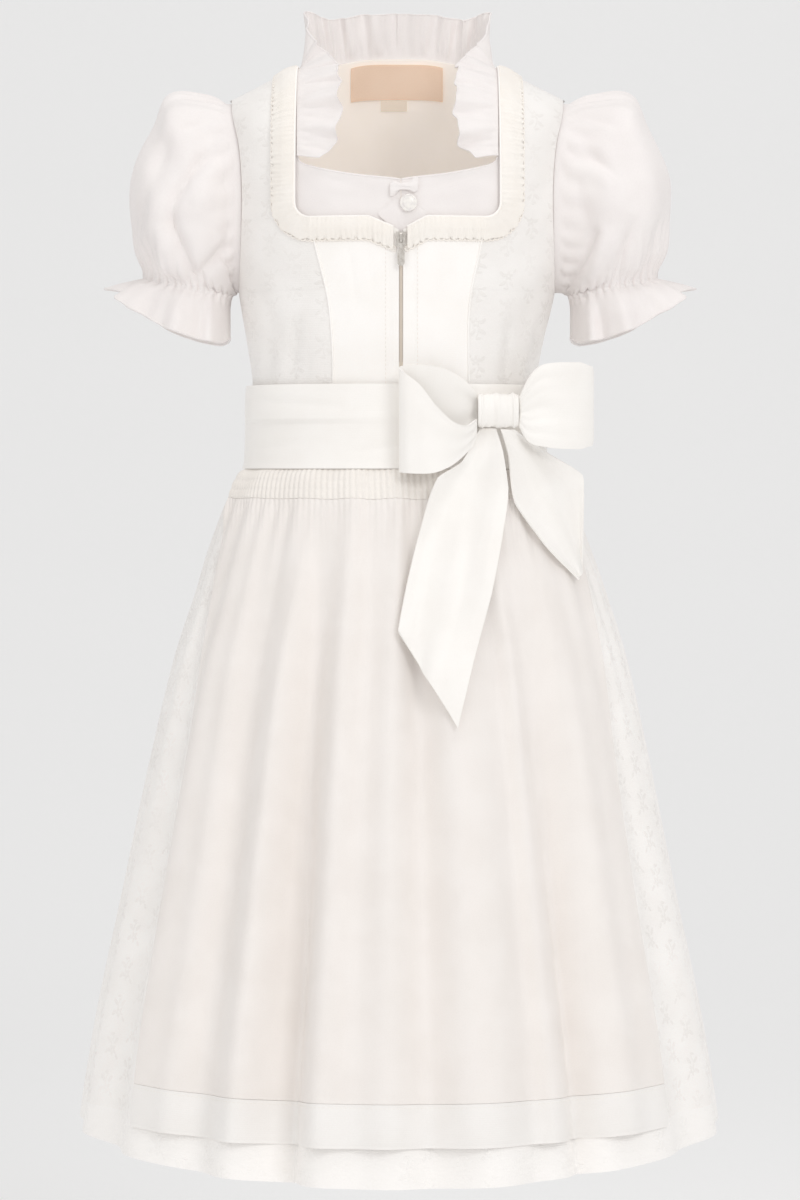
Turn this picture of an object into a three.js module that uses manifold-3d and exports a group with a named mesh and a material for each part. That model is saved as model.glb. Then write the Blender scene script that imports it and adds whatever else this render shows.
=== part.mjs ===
import * as THREE from 'three';
import Module from 'manifold-3d';

// Driving dimensions in millimetres. The origin is midway between the shoulders at strap height.
// The front faces -Y, the viewer's right is +X and up is +Z.
const seamGap = 0.3;
const clothWall = 1.2;
const blouseWall = 1.0;
const blouseInset = 3.0;
const waistHeight = -241;
const chestHeight = -90;
const shoulderHeight = 12;
const shoulderDrop = 23;
const shoulderHalf = 118;
const slopeStart = -60;
const neckHalf = 71.3;
const neckBottom = -100;
const neckCorner = 11;
const neckDip = 9.5;
const neckDipHalf = 20;
const napeLift = 48;
const napeHalf = 70;
const napeTurn = 42;
const bodyRoundness = 2.3;
const ridgeRoundness = 7.5;
const napeRoundness = 4;
const armholeTop = 12;
const armholeBottom = -150;
const armholeHalfDepth = 42;
const armholeRoundness = 2.2;
const hemSide = -735;
const hemFront = -744;
const skirtRoundness = 2.1;
const sashBottom = -273;
const sashWall = 2.0;
const sashLift = 5.3;
const apronTop = -277;
const smockBottom = -295;
const bandTop = -690;
const apronHem = -718;
const apronLift = 3.7;

const degree = Math.PI / 180;
const shoulderArc = shoulderHeight - chestHeight;
const ridgeRise = shoulderArc * Math.PI / 2;

// Half width, front and back depth and sideways shift of the bodice at each height.
const bodySections = [
  { height: -241, half: 101, front: 77, back: 74, shift: -4 },
  { height: -214, half: 101, front: 78, back: 76, shift: -4.5 },
  { height: -185, half: 105, front: 82, back: 78, shift: -4.3 },
  { height: -150, half: 112, front: 85, back: 82, shift: -3 },
  { height: -100, half: 118, front: 87, back: 84, shift: -2.5 },
  { height: -40, half: 119, front: 86, back: 84, shift: -2.5 },
  { height: 12, half: 119, front: 85, back: 84, shift: -2.5 },
];

// The same for the skirt, which flares from the gathered waist to the hem.
const skirtSections = [
  { height: -241, half: 101, front: 77, back: 74, shift: -4 },
  { height: -262, half: 102, front: 78.5, back: 76.5, shift: -3.5 },
  { height: -273, half: 104.5, front: 81, back: 80, shift: -3 },
  { height: -281, half: 111.5, front: 87, back: 86, shift: -2.5 },
  { height: -298, half: 121, front: 95, back: 95, shift: -1.5 },
  { height: -332, half: 134, front: 106, back: 107, shift: -1 },
  { height: -367, half: 145, front: 118, back: 118, shift: 0 },
  { height: -401, half: 156, front: 128, back: 128, shift: 0 },
  { height: -469, half: 172, front: 145, back: 145, shift: 0 },
  { height: -572, half: 193, front: 166, back: 166, shift: 0 },
  { height: -674, half: 214, front: 188, back: 188, shift: 0 },
  { height: -750, half: 225, front: 200, back: 200, shift: 0 },
];

// Half distance between the princess seams, and how far their middle leans aside.
const princessSeams = [
  { height: -241, half: 46.8, lean: 0 },
  { height: -215, half: 46.8, lean: 0 },
  { height: -157, half: 48.8, lean: -1.3 },
  { height: -121, half: 56.5, lean: -2 },
  { height: -100, half: 60.3, lean: -2.4 },
  { height: 12, half: 60.3, lean: -2.4 },
];

// Broad folds of the skirt: where each lies round it, its half width there and its depth at the hem.
const skirtFolds = [
  { angle: -31, spread: 5, depth: -9 },
  { angle: -19, spread: 6, depth: -11 },
  { angle: -8, spread: 8, depth: 7 },
  { angle: 15, spread: 7, depth: 4 },
  { angle: 34, spread: 6, depth: -12 },
  { angle: 58, spread: 7, depth: -7 },
  { angle: -62, spread: 6, depth: -8 },
  { angle: 101, spread: 8, depth: -9 },
  { angle: 137, spread: 7, depth: -10 },
  { angle: 168, spread: 9, depth: -8 },
  { angle: 205, spread: 7, depth: -11 },
  { angle: 246, spread: 8, depth: -9 },
];
const gatherCount = 20;
const gatherWaist = 0.6;
const gatherHem = 4.2;
const foldStart = 40;
const foldGrowth = 260;

function lerp(from, to, part) {
  return from + (to - from) * part;
}

function smooth(value) {
  const part = Math.min(1, Math.max(0, value));
  return part * part * (3 - 2 * part);
}

// Reads one column of a table at any height on a smooth curve through its rows.
function columnAt(table, column, height) {
  const up = table[0].height < table[table.length - 1].height ? table : [...table].reverse();
  const last = up.length - 1;
  const place = Math.min(up[last].height, Math.max(up[0].height, height));
  let row = 0;
  while (row < last - 1 && place > up[row + 1].height) {
    row += 1;
  }
  const slope = (a, b) => (up[b][column] - up[a][column]) / (up[b].height - up[a].height);
  const middle = slope(row, row + 1);
  const limited = (near) => (near * middle <= 0 ? 0 : (near + middle) / 2);
  const span = up[row + 1].height - up[row].height;
  const startSlope = row > 0 ? limited(slope(row - 1, row)) : middle;
  const endSlope = row + 2 <= last ? limited(slope(row + 1, row + 2)) : middle;
  const part = (place - up[row].height) / span;
  const square = part * part;
  const cube = square * part;
  return up[row][column] * (2 * cube - 3 * square + 1)
    + up[row + 1][column] * (3 * square - 2 * cube)
    + startSlope * span * (cube - 2 * square + part)
    + endSlope * span * (cube - square);
}

function sectionAt(table, height) {
  return {
    half: columnAt(table, 'half', height),
    front: columnAt(table, 'front', height),
    back: columnAt(table, 'back', height),
    shift: columnAt(table, 'shift', height),
    round: skirtRoundness,
  };
}

// A point on a rounded section. The angle is 0 in front, 90 degrees at +X and 180 at the back.
function ringPoint(section, angle) {
  const across = Math.sin(angle);
  const along = Math.cos(angle);
  const sum = Math.abs(across) ** section.round + Math.abs(along) ** section.round;
  const reach = sum ** (-1 / section.round);
  const depth = along >= 0 ? section.front : section.back;
  return [section.shift + section.half * reach * across, -depth * reach * along];
}

function angleFromDepth(section, depth) {
  const part = Math.min(1, Math.max(0, depth / section.front));
  return Math.atan2((1 - part ** section.round) ** (1 / section.round), part);
}

function angleAtX(section, x) {
  const part = Math.min(0.9999, Math.max(-0.9999, (x - section.shift) / section.half));
  return Math.atan2(part, (1 - Math.abs(part) ** section.round) ** (1 / section.round));
}

function heightAtRise(rise) {
  return rise > 0 ? chestHeight + shoulderArc * Math.sin(rise / shoulderArc) : chestHeight + rise;
}

function riseAtHeight(height) {
  if (height <= chestHeight) {
    return height - chestHeight;
  }
  return shoulderArc * Math.asin(Math.min(1, (height - chestHeight) / shoulderArc));
}

// The sections grow squarer toward the shoulders' ridge, so that the straps keep their width.
function bodySection(rise) {
  const section = sectionAt(bodySections, heightAtRise(rise));
  const climb = Math.max(rise, 0) / shoulderArc;
  const closing = Math.cos(climb);
  const round = lerp(bodyRoundness, ridgeRoundness, Math.min(1, climb / (Math.PI / 2)) ** 2);
  return { ...section, front: section.front * closing, back: section.back * closing, round };
}

// The bodice's outer form: a tube up to the chest, which closes over the shoulders above it.
function bodyForm(angle, rise) {
  const height = heightAtRise(rise);
  const section = bodySection(rise);
  const [x, y] = ringPoint(section, angle);
  const aside = Math.abs(x - section.shift);
  const slope = smooth((height - slopeStart) / (shoulderHeight - slopeStart));
  const drop = shoulderDrop * Math.max(0, aside - neckHalf) / (shoulderHalf - neckHalf) * slope;
  const turned = Math.sin(Math.max(rise, 0) / shoulderArc) / Math.sin(napeTurn * degree);
  const behind = Math.cos(angle) < 0 ? Math.max(0, 1 - (aside / napeHalf) ** napeRoundness) : 0;
  return [x, y, height - drop + napeLift * behind * turned * turned];
}

function skirtForm(angle, height) {
  const [x, y] = ringPoint(sectionAt(skirtSections, height), angle);
  return [x, y, height];
}

// Moves a point of a form straight out from it.
function liftFrom(form, angle, rise, lift) {
  const turn = 0.002;
  const climb = 0.2;
  const across = new THREE.Vector3(...form(angle + turn, rise));
  across.sub(new THREE.Vector3(...form(angle - turn, rise)));
  const up = new THREE.Vector3(...form(angle, rise + climb));
  up.sub(new THREE.Vector3(...form(angle, rise - climb)));
  const out = across.cross(up).normalize();
  return new THREE.Vector3(...form(angle, rise)).addScaledVector(out, lift);
}

// How far the skirt's gathers and broad folds stand out of its form.
function skirtWave(angle, height) {
  const fall = smooth((waistHeight - height) / (waistHeight - hemFront));
  const uneven = 0.75 + 0.25 * Math.sin(3 * angle + 1);
  const phase = gatherCount * angle + 0.9 * Math.sin(3 * angle) + 0.5 * Math.sin(5 * angle + 1);
  let wave = lerp(gatherWaist, gatherHem, Math.sqrt(fall)) * uneven * Math.cos(phase);
  const begin = smooth((waistHeight - foldStart - height) / foldGrowth);
  for (const fold of skirtFolds) {
    const away = Math.atan2(Math.sin(angle - fold.angle * degree), Math.cos(angle - fold.angle * degree));
    wave += fold.depth * begin * Math.exp(-((away / (fold.spread * degree)) ** 2));
  }
  return wave;
}

function hemHeight(angle) {
  return lerp(hemSide, hemFront, Math.cos(angle) ** 2);
}

// Closes the space between an outer and an inner grid of points into one wall.
function closeWall(outer, inner, ring) {
  const rows = outer.length;
  const columns = outer[0].length;
  const points = [...outer.flat(), ...inner.flat()];
  const faces = [];
  const out = (row, column) => row * columns + column % columns;
  const into = (row, column) => rows * columns + out(row, column);
  const quad = (a, b, c, d) => faces.push([a, b, c], [a, c, d]);
  const spans = ring ? columns : columns - 1;
  for (let column = 0; column < spans; column += 1) {
    const next = column + 1;
    for (let row = 0; row < rows - 1; row += 1) {
      quad(out(row, column), out(row, next), out(row + 1, next), out(row + 1, column));
      quad(into(row, column), into(row + 1, column), into(row + 1, next), into(row, next));
    }
    quad(out(0, next), out(0, column), into(0, column), into(0, next));
    quad(out(rows - 1, column), out(rows - 1, next), into(rows - 1, next), into(rows - 1, column));
  }
  if (!ring) {
    for (let row = 0; row < rows - 1; row += 1) {
      quad(out(row, 0), out(row + 1, 0), into(row + 1, 0), into(row, 0));
      const last = columns - 1;
      quad(out(row + 1, last), out(row, last), into(row, last), into(row + 1, last));
    }
  }
  return { points, faces };
}

// The inner side of a wall whose outer side is a grid of points.
function backOf(grid, wall, ring) {
  const rows = grid.length;
  const columns = grid[0].length;
  return grid.map((line, row) => line.map((point, column) => {
    const left = ring ? line[(column + columns - 1) % columns] : line[Math.max(0, column - 1)];
    const right = ring ? line[(column + 1) % columns] : line[Math.min(columns - 1, column + 1)];
    const below = grid[Math.max(0, row - 1)][column];
    const above = grid[Math.min(rows - 1, row + 1)][column];
    const across = new THREE.Vector3().subVectors(right, left);
    const up = new THREE.Vector3().subVectors(above, below);
    return point.clone().addScaledVector(across.cross(up).normalize(), -wall);
  }));
}

const group = new THREE.Group();
group.name = 'dirndl';

const finishes = {
  satin: { color: 0xf6f2ea, roughness: 0.45, metalness: 0 },
  jacquard: { color: 0xefece6, roughness: 0.6, metalness: 0 },
  sheer: { color: 0xece8e3, roughness: 0.8, metalness: 0 },
  batiste: { color: 0xf1efed, roughness: 0.85, metalness: 0 },
  braid: { color: 0xf5ebdd, roughness: 0.8, metalness: 0 },
  woven: { color: 0xe9cbb2, roughness: 0.7, metalness: 0 },
  pearl: { color: 0xf7f2ea, roughness: 0.25, metalness: 0 },
  metal: { color: 0xb4afa8, roughness: 0.3, metalness: 0.9 },
};

function addSolid(name, finish, wall) {
  let volume = 0;
  const { points, faces } = wall;
  for (const [a, b, c] of faces) {
    volume += new THREE.Vector3().crossVectors(points[a], points[b]).dot(points[c]);
  }
  const facing = volume < 0 ? faces.map(([a, b, c]) => [a, c, b]) : faces;
  const geometry = new THREE.BufferGeometry();
  const flat = points.flatMap((point) => [point.x, point.y, point.z]);
  geometry.setAttribute('position', new THREE.Float32BufferAttribute(flat, 3));
  geometry.setIndex(facing.flat());
  const mesh = new THREE.Mesh(geometry, new THREE.MeshStandardMaterial(finishes[finish]));
  mesh.name = name;
  group.add(mesh);
}

// A wall on a form, from a grid of angles and rises, between two lifts from the form.
function formWall(form, grid, outerLift, wall, ring) {
  const outer = grid.map((line) => line.map(([angle, rise]) => liftFrom(form, angle, rise, outerLift)));
  const depth = outerLift - wall;
  const inner = grid.map((line) => line.map(([angle, rise]) => liftFrom(form, angle, rise, depth)));
  return closeWall(outer, inner, ring);
}

// Keeps a front or back piece on its own side of the shoulder and side seams.
function keepBehindSeam(wall, side) {
  for (const point of wall.points) {
    point.y = side * Math.max(side * point.y, seamGap / 2);
  }
  return wall;
}

// The armhole is an oval seen from the side. Its edge is the outer end of each row of a panel.
function armholeAngle(rise, shrink) {
  const middle = (armholeTop + armholeBottom) / 2;
  const half = (armholeTop - armholeBottom) / 2 - shrink;
  const away = Math.abs(heightAtRise(rise) - middle) / half;
  const section = bodySection(rise);
  const side = Math.PI / 2 - seamGap / 2 / Math.max(section.front, 20);
  if (away > 0.9985) {
    return side;
  }
  const depth = (armholeHalfDepth - shrink) * (1 - away ** armholeRoundness) ** (1 / armholeRoundness);
  return Math.min(side, angleFromDepth(section, depth));
}

function seamX(height, side) {
  const lean = columnAt(princessSeams, 'lean', height);
  return side * columnAt(princessSeams, 'half', height) + lean;
}

// The inner edge of a strap panel: the princess seam, then the neckline's corner and side.
function strapEdge(rise, side, bottomRise) {
  const height = heightAtRise(rise);
  const lean = columnAt(princessSeams, 'lean', height);
  const above = rise - bottomRise;
  if (above < 0) {
    return seamX(height, side) + side * seamGap / 2;
  }
  const into = Math.min(above, neckCorner) - neckCorner;
  const reach = neckHalf - neckCorner + Math.sqrt(neckCorner ** 2 - into ** 2);
  return side * reach + lean;
}

function angleRow(from, to, count) {
  const low = Math.min(from, to);
  const high = Math.max(from, to);
  return Array.from({ length: count + 1 }, (_, column) => lerp(low, high, column / count));
}

function turnBack(angle) {
  return Math.PI - angle;
}

// A side panel with its shoulder strap, in front or at the back.
function strapPanel(rises, columns, side, behind, edge, shrink) {
  return rises.map((rise) => {
    const section = bodySection(rise);
    let inner = angleAtX(section, edge(rise, side));
    let outer = side * armholeAngle(rise, shrink);
    if (behind) {
      inner = turnBack(inner);
      outer = turnBack(outer);
    }
    return angleRow(inner, outer, columns).map((angle) => [angle, rise]);
  });
}

const bodiceBottom = waistHeight - chestHeight;
const frontNeckRise = neckBottom - chestHeight;
const backNeckRise = 47;
const backNeckDip = 12;
const strapColumns = 4;
const lowRises = [bodiceBottom, -120, -95, -75, -60, -59, -56, -49, -38, -24];
const strapRises = [30, 60, 90, 118, 140, 153, ridgeRise - 0.2];
const frontRises = [...lowRises, frontNeckRise, -9, -6, -2, 1, ...strapRises];
const backRises = [...lowRises, -5, 22, backNeckRise, 48, 51, 58, 75, 95, 118, 140, 153, ridgeRise - 0.2];

for (const [word, side] of [['left', -1], ['right', 1]]) {
  const frontEdge = (rise, hand) => strapEdge(rise, hand, frontNeckRise);
  const frontGrid = strapPanel(frontRises, strapColumns, side, false, frontEdge, 0);
  const frontWall = formWall(bodyForm, frontGrid, 0, clothWall, false);
  addSolid(`bodice_front_side_${word}`, 'jacquard', keepBehindSeam(frontWall, -1));
  const backEdge = (rise, hand) => strapEdge(rise, hand, backNeckRise);
  const backGrid = strapPanel(backRises, strapColumns, side, true, backEdge, 0);
  const backWall = formWall(bodyForm, backGrid, 0, clothWall, false);
  addSolid(`bodice_back_side_${word}`, 'jacquard', keepBehindSeam(backWall, 1));
}

// The centre fronts meet the zip chain, and their top dips to a shallow V.
const zipHalf = 1.1;
const centreColumns = 5;
const seamRises = [bodiceBottom, -120, -95, -75, -60, -49, -38, -24];
function neckRiseAt(x) {
  return frontNeckRise - neckDip * Math.max(0, 1 - Math.abs(x) / neckDipHalf);
}

for (const [word, side] of [['left', -1], ['right', 1]]) {
  const grid = [];
  for (const low of [...seamRises, frontNeckRise]) {
    const line = [];
    for (let column = 0; column <= centreColumns; column += 1) {
      const across = side > 0 ? column / centreColumns : 1 - column / centreColumns;
      const start = side * (zipHalf + seamGap);
      const top = neckRiseAt(lerp(start, seamX(neckBottom, side), across));
      const rise = low === frontNeckRise ? top : low;
      const end = seamX(heightAtRise(rise), side) - side * seamGap / 2;
      line.push([angleAtX(bodySection(rise), lerp(start, end, across)), rise]);
    }
    grid.push(line);
  }
  addSolid(`bodice_front_centre_${word}`, 'satin', formWall(bodyForm, grid, 0, clothWall, false));
}

function backNeckAt(x) {
  return backNeckRise - backNeckDip * Math.max(0, 1 - (x / 60) ** 2);
}

const backColumns = 8;
const backCentre = [];
for (const low of [...seamRises, -5, 22, backNeckRise]) {
  const line = [];
  for (let column = 0; column <= backColumns; column += 1) {
    const across = column / backColumns;
    const topX = lerp(seamX(neckBottom, 1), seamX(neckBottom, -1), across);
    const rise = low === backNeckRise ? backNeckAt(topX) : low;
    const height = heightAtRise(rise);
    const x = lerp(seamX(height, 1) - seamGap / 2, seamX(height, -1) + seamGap / 2, across);
    line.push([turnBack(angleAtX(bodySection(rise), x)), rise]);
  }
  backCentre.push(line);
}
addSolid('bodice_back_centre', 'jacquard', formWall(bodyForm, backCentre, 0, clothWall, false));

// The neckline's path from the zip once round, as points across and up the form, each with its way out.
const trimWidth = 14;
const trimStart = 4.8;
const trimSeat = 0.7;
const trimHeights = [1.2, 2.4, 1.3];
const cornerSteps = 4;

function halfNeckPath() {
  const path = [];
  for (const x of [trimStart, 11, neckDipHalf]) {
    path.push({ x, rise: neckRiseAt(x), outX: 0, outRise: -1, behind: false });
  }
  for (const x of [33, 47]) {
    path.push({ x, rise: frontNeckRise, outX: 0, outRise: -1, behind: false });
  }
  for (let step = 0; step <= cornerSteps; step += 1) {
    const turn = Math.PI / 2 * step / cornerSteps;
    const x = neckHalf - neckCorner + neckCorner * Math.sin(turn);
    const rise = frontNeckRise + neckCorner - neckCorner * Math.cos(turn);
    path.push({ x, rise, outX: Math.sin(turn), outRise: -Math.cos(turn), behind: false });
  }
  for (const rise of [15, 30, 45, 60, 75, 90, 104, 118, 130, 140, 153, ridgeRise]) {
    path.push({ x: neckHalf, rise, outX: 1, outRise: 0, behind: false });
  }
  for (const rise of [153, 140, 128, 118, 106, 95, 85, 75, 66, 58]) {
    path.push({ x: neckHalf, rise, outX: 1, outRise: 0, behind: true });
  }
  for (let step = 1; step <= cornerSteps; step += 1) {
    const turn = Math.PI / 2 * step / cornerSteps;
    const x = neckHalf - neckCorner + neckCorner * Math.cos(turn);
    const rise = backNeckRise + neckCorner - neckCorner * Math.sin(turn);
    path.push({ x, rise, outX: Math.cos(turn), outRise: -Math.sin(turn), behind: true });
  }
  for (const x of [44, 28, 14, 0]) {
    path.push({ x, rise: backNeckAt(x), outX: 0, outRise: -1, behind: true });
  }
  return path;
}

const neckPath = halfNeckPath();
const leftPath = neckPath.slice(0, -1).reverse().map((point) => ({
  ...point,
  x: -point.x,
  outX: -point.outX,
}));
const wholeNeckPath = [...neckPath, ...leftPath];
const trimRow = (part, lift) => wholeNeckPath.map((point) => {
  const rise = point.rise + point.outRise * trimWidth * part;
  const height = heightAtRise(rise);
  const lean = columnAt(princessSeams, 'lean', height) * Math.min(1, Math.abs(point.x) / neckDipHalf);
  const x = point.x + point.outX * trimWidth * part + lean;
  const angle = angleAtX(bodySection(rise), x);
  const onRidge = Math.abs(point.rise - ridgeRise) < 0.01;
  const place = onRidge ? ridgeRise - 0.01 : rise;
  return liftFrom(bodyForm, point.behind ? turnBack(angle) : angle, place, lift);
});
const trimParts = [0, 0.5, 1];
const trimOuter = trimParts.map((part, row) => trimRow(part, trimSeat + trimHeights[row]));
const trimInner = trimParts.map((part) => trimRow(part, trimSeat));
addSolid('neck_trim', 'braid', closeWall(trimOuter, trimInner, false));

// The blouse lies inside the bodice: two fronts that meet at the centre, and a back.
const blouseBottom = -110;
const blouseNeckHalf = 70;
const blouseShrink = 5;
const insertEdge = [
  { height: -200, half: 0.2 },
  { height: -74, half: 0.2 },
  { height: -73, half: 4 },
  { height: -70, half: 30 },
  { height: -66, half: 52 },
  { height: -62, half: 66 },
  { height: -57, half: 70 },
  { height: 12, half: 70 },
];
const insertHeights = [-200, -170, -146, -143, -130, -105, -85, -74, -73, -70, -66, -62, -57];
const insertRises = [...insertHeights.map(riseAtHeight), 62, 92, 120, 142, 154, ridgeRise - 0.2];

for (const [word, side] of [['left', -1], ['right', 1]]) {
  const edge = (rise, hand) => {
    const height = heightAtRise(rise);
    const half = columnAt(insertEdge, 'half', height);
    const lean = columnAt(princessSeams, 'lean', height) * Math.min(1, half / 20);
    return hand * half + lean;
  };
  const grid = strapPanel(insertRises, strapColumns - 1, side, false, edge, blouseShrink);
  const frontWall = formWall(bodyForm, grid, -blouseInset, blouseWall, false);
  addSolid(`blouse_front_${word}`, 'batiste', keepBehindSeam(frontWall, -1));
}

const napePower = 8;
function napeRise(aside) {
  const part = Math.min(1, Math.abs(aside) / blouseNeckHalf) ** napePower;
  return Math.min(shoulderArc * degree * lerp(napeTurn, 90, part), ridgeRise - 0.2);
}

// Each column's distance aside, as a part of the neck's half width, or past it of the shoulder.
const blouseColumns = [-2, -1.66, -1.33, -1, -0.96, -0.88, -0.72, -0.5, -0.25, 0];
const blouseBackColumns = [...blouseColumns, 0.25, 0.5, 0.72, 0.88, 0.96, 1, 1.33, 1.66, 2];
const blouseBackRows = [0, 0.17, 0.25, 0.36, 0.54, 0.7, 0.82, 0.92, 1];
const blouseBack = blouseBackRows.map((part) => [...blouseBackColumns].reverse().map((across) => {
  const rise = lerp(blouseBottom, napeRise(across * blouseNeckHalf), part);
  const section = bodySection(rise);
  const neckAngle = angleAtX(section, section.shift + blouseNeckHalf * Math.min(1, Math.abs(across)));
  const past = Math.max(0, Math.abs(across) - 1);
  const angle = lerp(neckAngle, armholeAngle(rise, blouseShrink), past);
  return [turnBack(Math.sign(across) * angle), rise];
}));
const blouseBackWall = formWall(bodyForm, blouseBack, -blouseInset, blouseWall, false);
addSolid('blouse_back', 'batiste', keepBehindSeam(blouseBackWall, 1));

// The frilled collar stands on the blouse's neckline. Each row gives how far along one side it is,
// and how far the free edge lies from the sewn edge.
const collarSections = [
  { height: 0, aside: -17, ahead: -4, up: -3 },
  { height: 0.05, aside: -26, ahead: -6, up: -2 },
  { height: 0.22, aside: -29, ahead: -7, up: 7 },
  { height: 0.36, aside: -27, ahead: -6, up: 7 },
  { height: 0.44, aside: -22, ahead: -4, up: 10 },
  { height: 0.5, aside: -12, ahead: -1, up: 19 },
  { height: 0.55, aside: 0, ahead: 1, up: 27 },
  { height: 0.62, aside: 5, ahead: 3, up: 30 },
  { height: 0.72, aside: 3, ahead: 3, up: 33 },
  { height: 1, aside: 0, ahead: 2, up: 33 },
];
const collarWaves = 10;
const collarColumns = 40;
const collarRows = 3;
const collarDepth = 3.4;
const collarWall = 0.9;
const collarStart = -56;
const collarUneven = { share: 0.02, turns: 9 };
const collarRoot = 0.15;
const collarOut = { aside: 0.4, ahead: 0.8, up: 0.2 };
const collarNape = 0.75;
const collarBend = 1.6;

function collarBase(part) {
  if (part < 0.5) {
    const rise = lerp(riseAtHeight(collarStart), ridgeRise, part / 0.5);
    return { x: blouseNeckHalf, rise, behind: false };
  }
  const turn = (part - 0.5) / 0.5;
  const x = blouseNeckHalf * (1 - turn ** collarBend);
  return { x, rise: napeRise(x), behind: true };
}

function collarLine(across, row) {
  const side = across < 0 ? -1 : 1;
  const part = 1 - Math.abs(across);
  const base = collarBase(part);
  const section = bodySection(base.rise);
  const lean = columnAt(princessSeams, 'lean', heightAtRise(base.rise));
  let angle = angleAtX(section, side * base.x + lean);
  if (base.behind) {
    angle = turnBack(angle);
  }
  const root = liftFrom(bodyForm, angle, base.rise, -blouseInset + seamGap + collarWall);
  const free = new THREE.Vector3(
    side * columnAt(collarSections, 'aside', part),
    columnAt(collarSections, 'ahead', part),
    columnAt(collarSections, 'up', part),
  );
  const along = row / collarRows;
  const uneven = part + collarUneven.share * Math.sin(collarUneven.turns * part);
  const wave = Math.cos(2 * Math.PI * collarWaves * uneven);
  const flare = collarDepth * lerp(collarRoot, 1, along) * wave * smooth(along * 4);
  const aside = part > collarNape ? 0 : side * collarOut.aside;
  const ahead = part > 0.5 ? collarOut.ahead : -collarOut.ahead;
  const outward = new THREE.Vector3(aside, ahead, collarOut.up);
  return root.addScaledVector(free, along).addScaledVector(outward, flare);
}

const collarGrid = [];
for (let row = 0; row <= collarRows; row += 1) {
  const line = [];
  for (let column = -collarColumns; column <= collarColumns; column += 1) {
    line.push(collarLine(column / collarColumns, row));
  }
  collarGrid.push(line);
}
addSolid('collar_frill', 'batiste', closeWall(collarGrid, backOf(collarGrid, collarWall, false), false));

// Puff sleeve: each row turns about the underarm from the armhole to the elastic channel.
const underarmX = 116;
const underarmZ = -152;
const sleeveSections = [
  { height: 11, outer: 149, inner: 4, depth: 47 },
  { height: 19.5, outer: 150, inner: 4, depth: 52 },
  { height: 26, outer: 135, inner: 4, depth: 54 },
  { height: 42, outer: 112.5, inner: 4.5, depth: 55 },
  { height: 52, outer: 95.5, inner: 5, depth: 52 },
  { height: 65, outer: 78.5, inner: 5.5, depth: 45 },
  { height: 78, outer: 65.5, inner: 6, depth: 36 },
];
const frillSections = [
  { height: 0.3, aside: 9, out: 5, down: 0.25, wave: 1.2 },
  { height: 0.65, aside: 18, out: 10, down: 0.62, wave: 3 },
  { height: 1, aside: 25, out: 14, down: 1, wave: 4 },
];
const sleeveGathers = 8;
const sleeveColumns = 32;
const sleeveWall = 0.9;
const sleeveShrink = 3.0;
const frillInnerDrop = 37;
const frillOuterDrop = 7;
const headGather = 2.2;
const headHold = 0.45;
const footGather = 0.6;
const armholeLines = [-1.2, 2.4];

function sleeveCentre(angle, side, push) {
  const middle = (armholeTop + armholeBottom) / 2;
  const half = (armholeTop - armholeBottom) / 2 - sleeveShrink;
  const power = 2 / armholeRoundness;
  const up = Math.sign(Math.cos(angle)) * Math.abs(Math.cos(angle)) ** power;
  const forward = Math.sign(Math.sin(angle)) * Math.abs(Math.sin(angle)) ** power;
  const rise = riseAtHeight(middle + half * up);
  const section = bodySection(rise);
  const depth = (armholeHalfDepth - sleeveShrink) * Math.abs(forward);
  const round = angleFromDepth(section, depth);
  const turned = forward >= 0 ? side * round : Math.PI - side * round;
  const point = new THREE.Vector3(...bodyForm(turned, rise));
  point.x += side * push;
  return point;
}

function sleevePuff(angle, side, section) {
  const reach = lerp(section.inner, section.outer, 0.5 + 0.5 * Math.cos(angle));
  const turn = section.height * degree;
  const x = side * (underarmX + reach * Math.sin(turn)) - 0.5;
  return new THREE.Vector3(x, -section.depth * Math.sin(angle), underarmZ + reach * Math.cos(turn));
}

for (const [word, side] of [['left', -1], ['right', 1]]) {
  const lines = [];
  const around = Array.from({ length: sleeveColumns }, (_, column) => 2 * Math.PI * column / sleeveColumns);
  for (const push of armholeLines) {
    lines.push(around.map((angle) => sleeveCentre(angle, side, push)));
  }
  sleeveSections.forEach((section, row) => {
    const hold = row === 0 ? headHold : 0;
    const head = Math.max(0, 1 - row / 3);
    const foot = row === sleeveSections.length - 2 ? footGather : 0;
    const gather = headGather * Math.max(head, foot);
    lines.push(around.map((angle) => {
      const wave = gather * Math.cos(sleeveGathers * angle + 0.6 * Math.sin(2 * angle));
      const fuller = { ...section, outer: section.outer + wave, depth: section.depth + wave };
      return sleevePuff(angle, side, fuller).lerp(sleeveCentre(angle, side, 8), hold);
    }));
  });
  const cuff = sleeveSections[sleeveSections.length - 1];
  for (const frill of frillSections) {
    lines.push(around.map((angle) => {
      const point = sleevePuff(angle, side, cuff);
      const outer = 0.5 + 0.5 * Math.cos(angle);
      const wave = frill.wave * Math.cos(sleeveGathers * angle + 0.7 * Math.sin(3 * angle));
      point.x += side * (frill.aside * outer ** 1.5 + wave * Math.cos(angle) * outer);
      point.y -= (frill.out + wave) * Math.sin(angle);
      point.z -= lerp(frillInnerDrop, frillOuterDrop, outer) * frill.down;
      return point;
    }));
  }
  const outerGrid = side > 0 ? lines : lines.map((line) => [...line].reverse());
  const facing = backOf(outerGrid, -sleeveWall, true);
  addSolid(`sleeve_${word}`, 'batiste', closeWall(outerGrid, facing, true));
}

// Skirt: a front and a back panel with a seam at each side.
const skirtColumns = 44;
const skirtParts = [0, 0.045, 0.071, 0.107, 0.16, 0.26, 0.45, 0.72, 1];
const skirtTop = waistHeight - seamGap;

function foldedForm(angle, height) {
  return liftFrom(skirtForm, angle, height, skirtWave(angle, height)).toArray();
}

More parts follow.
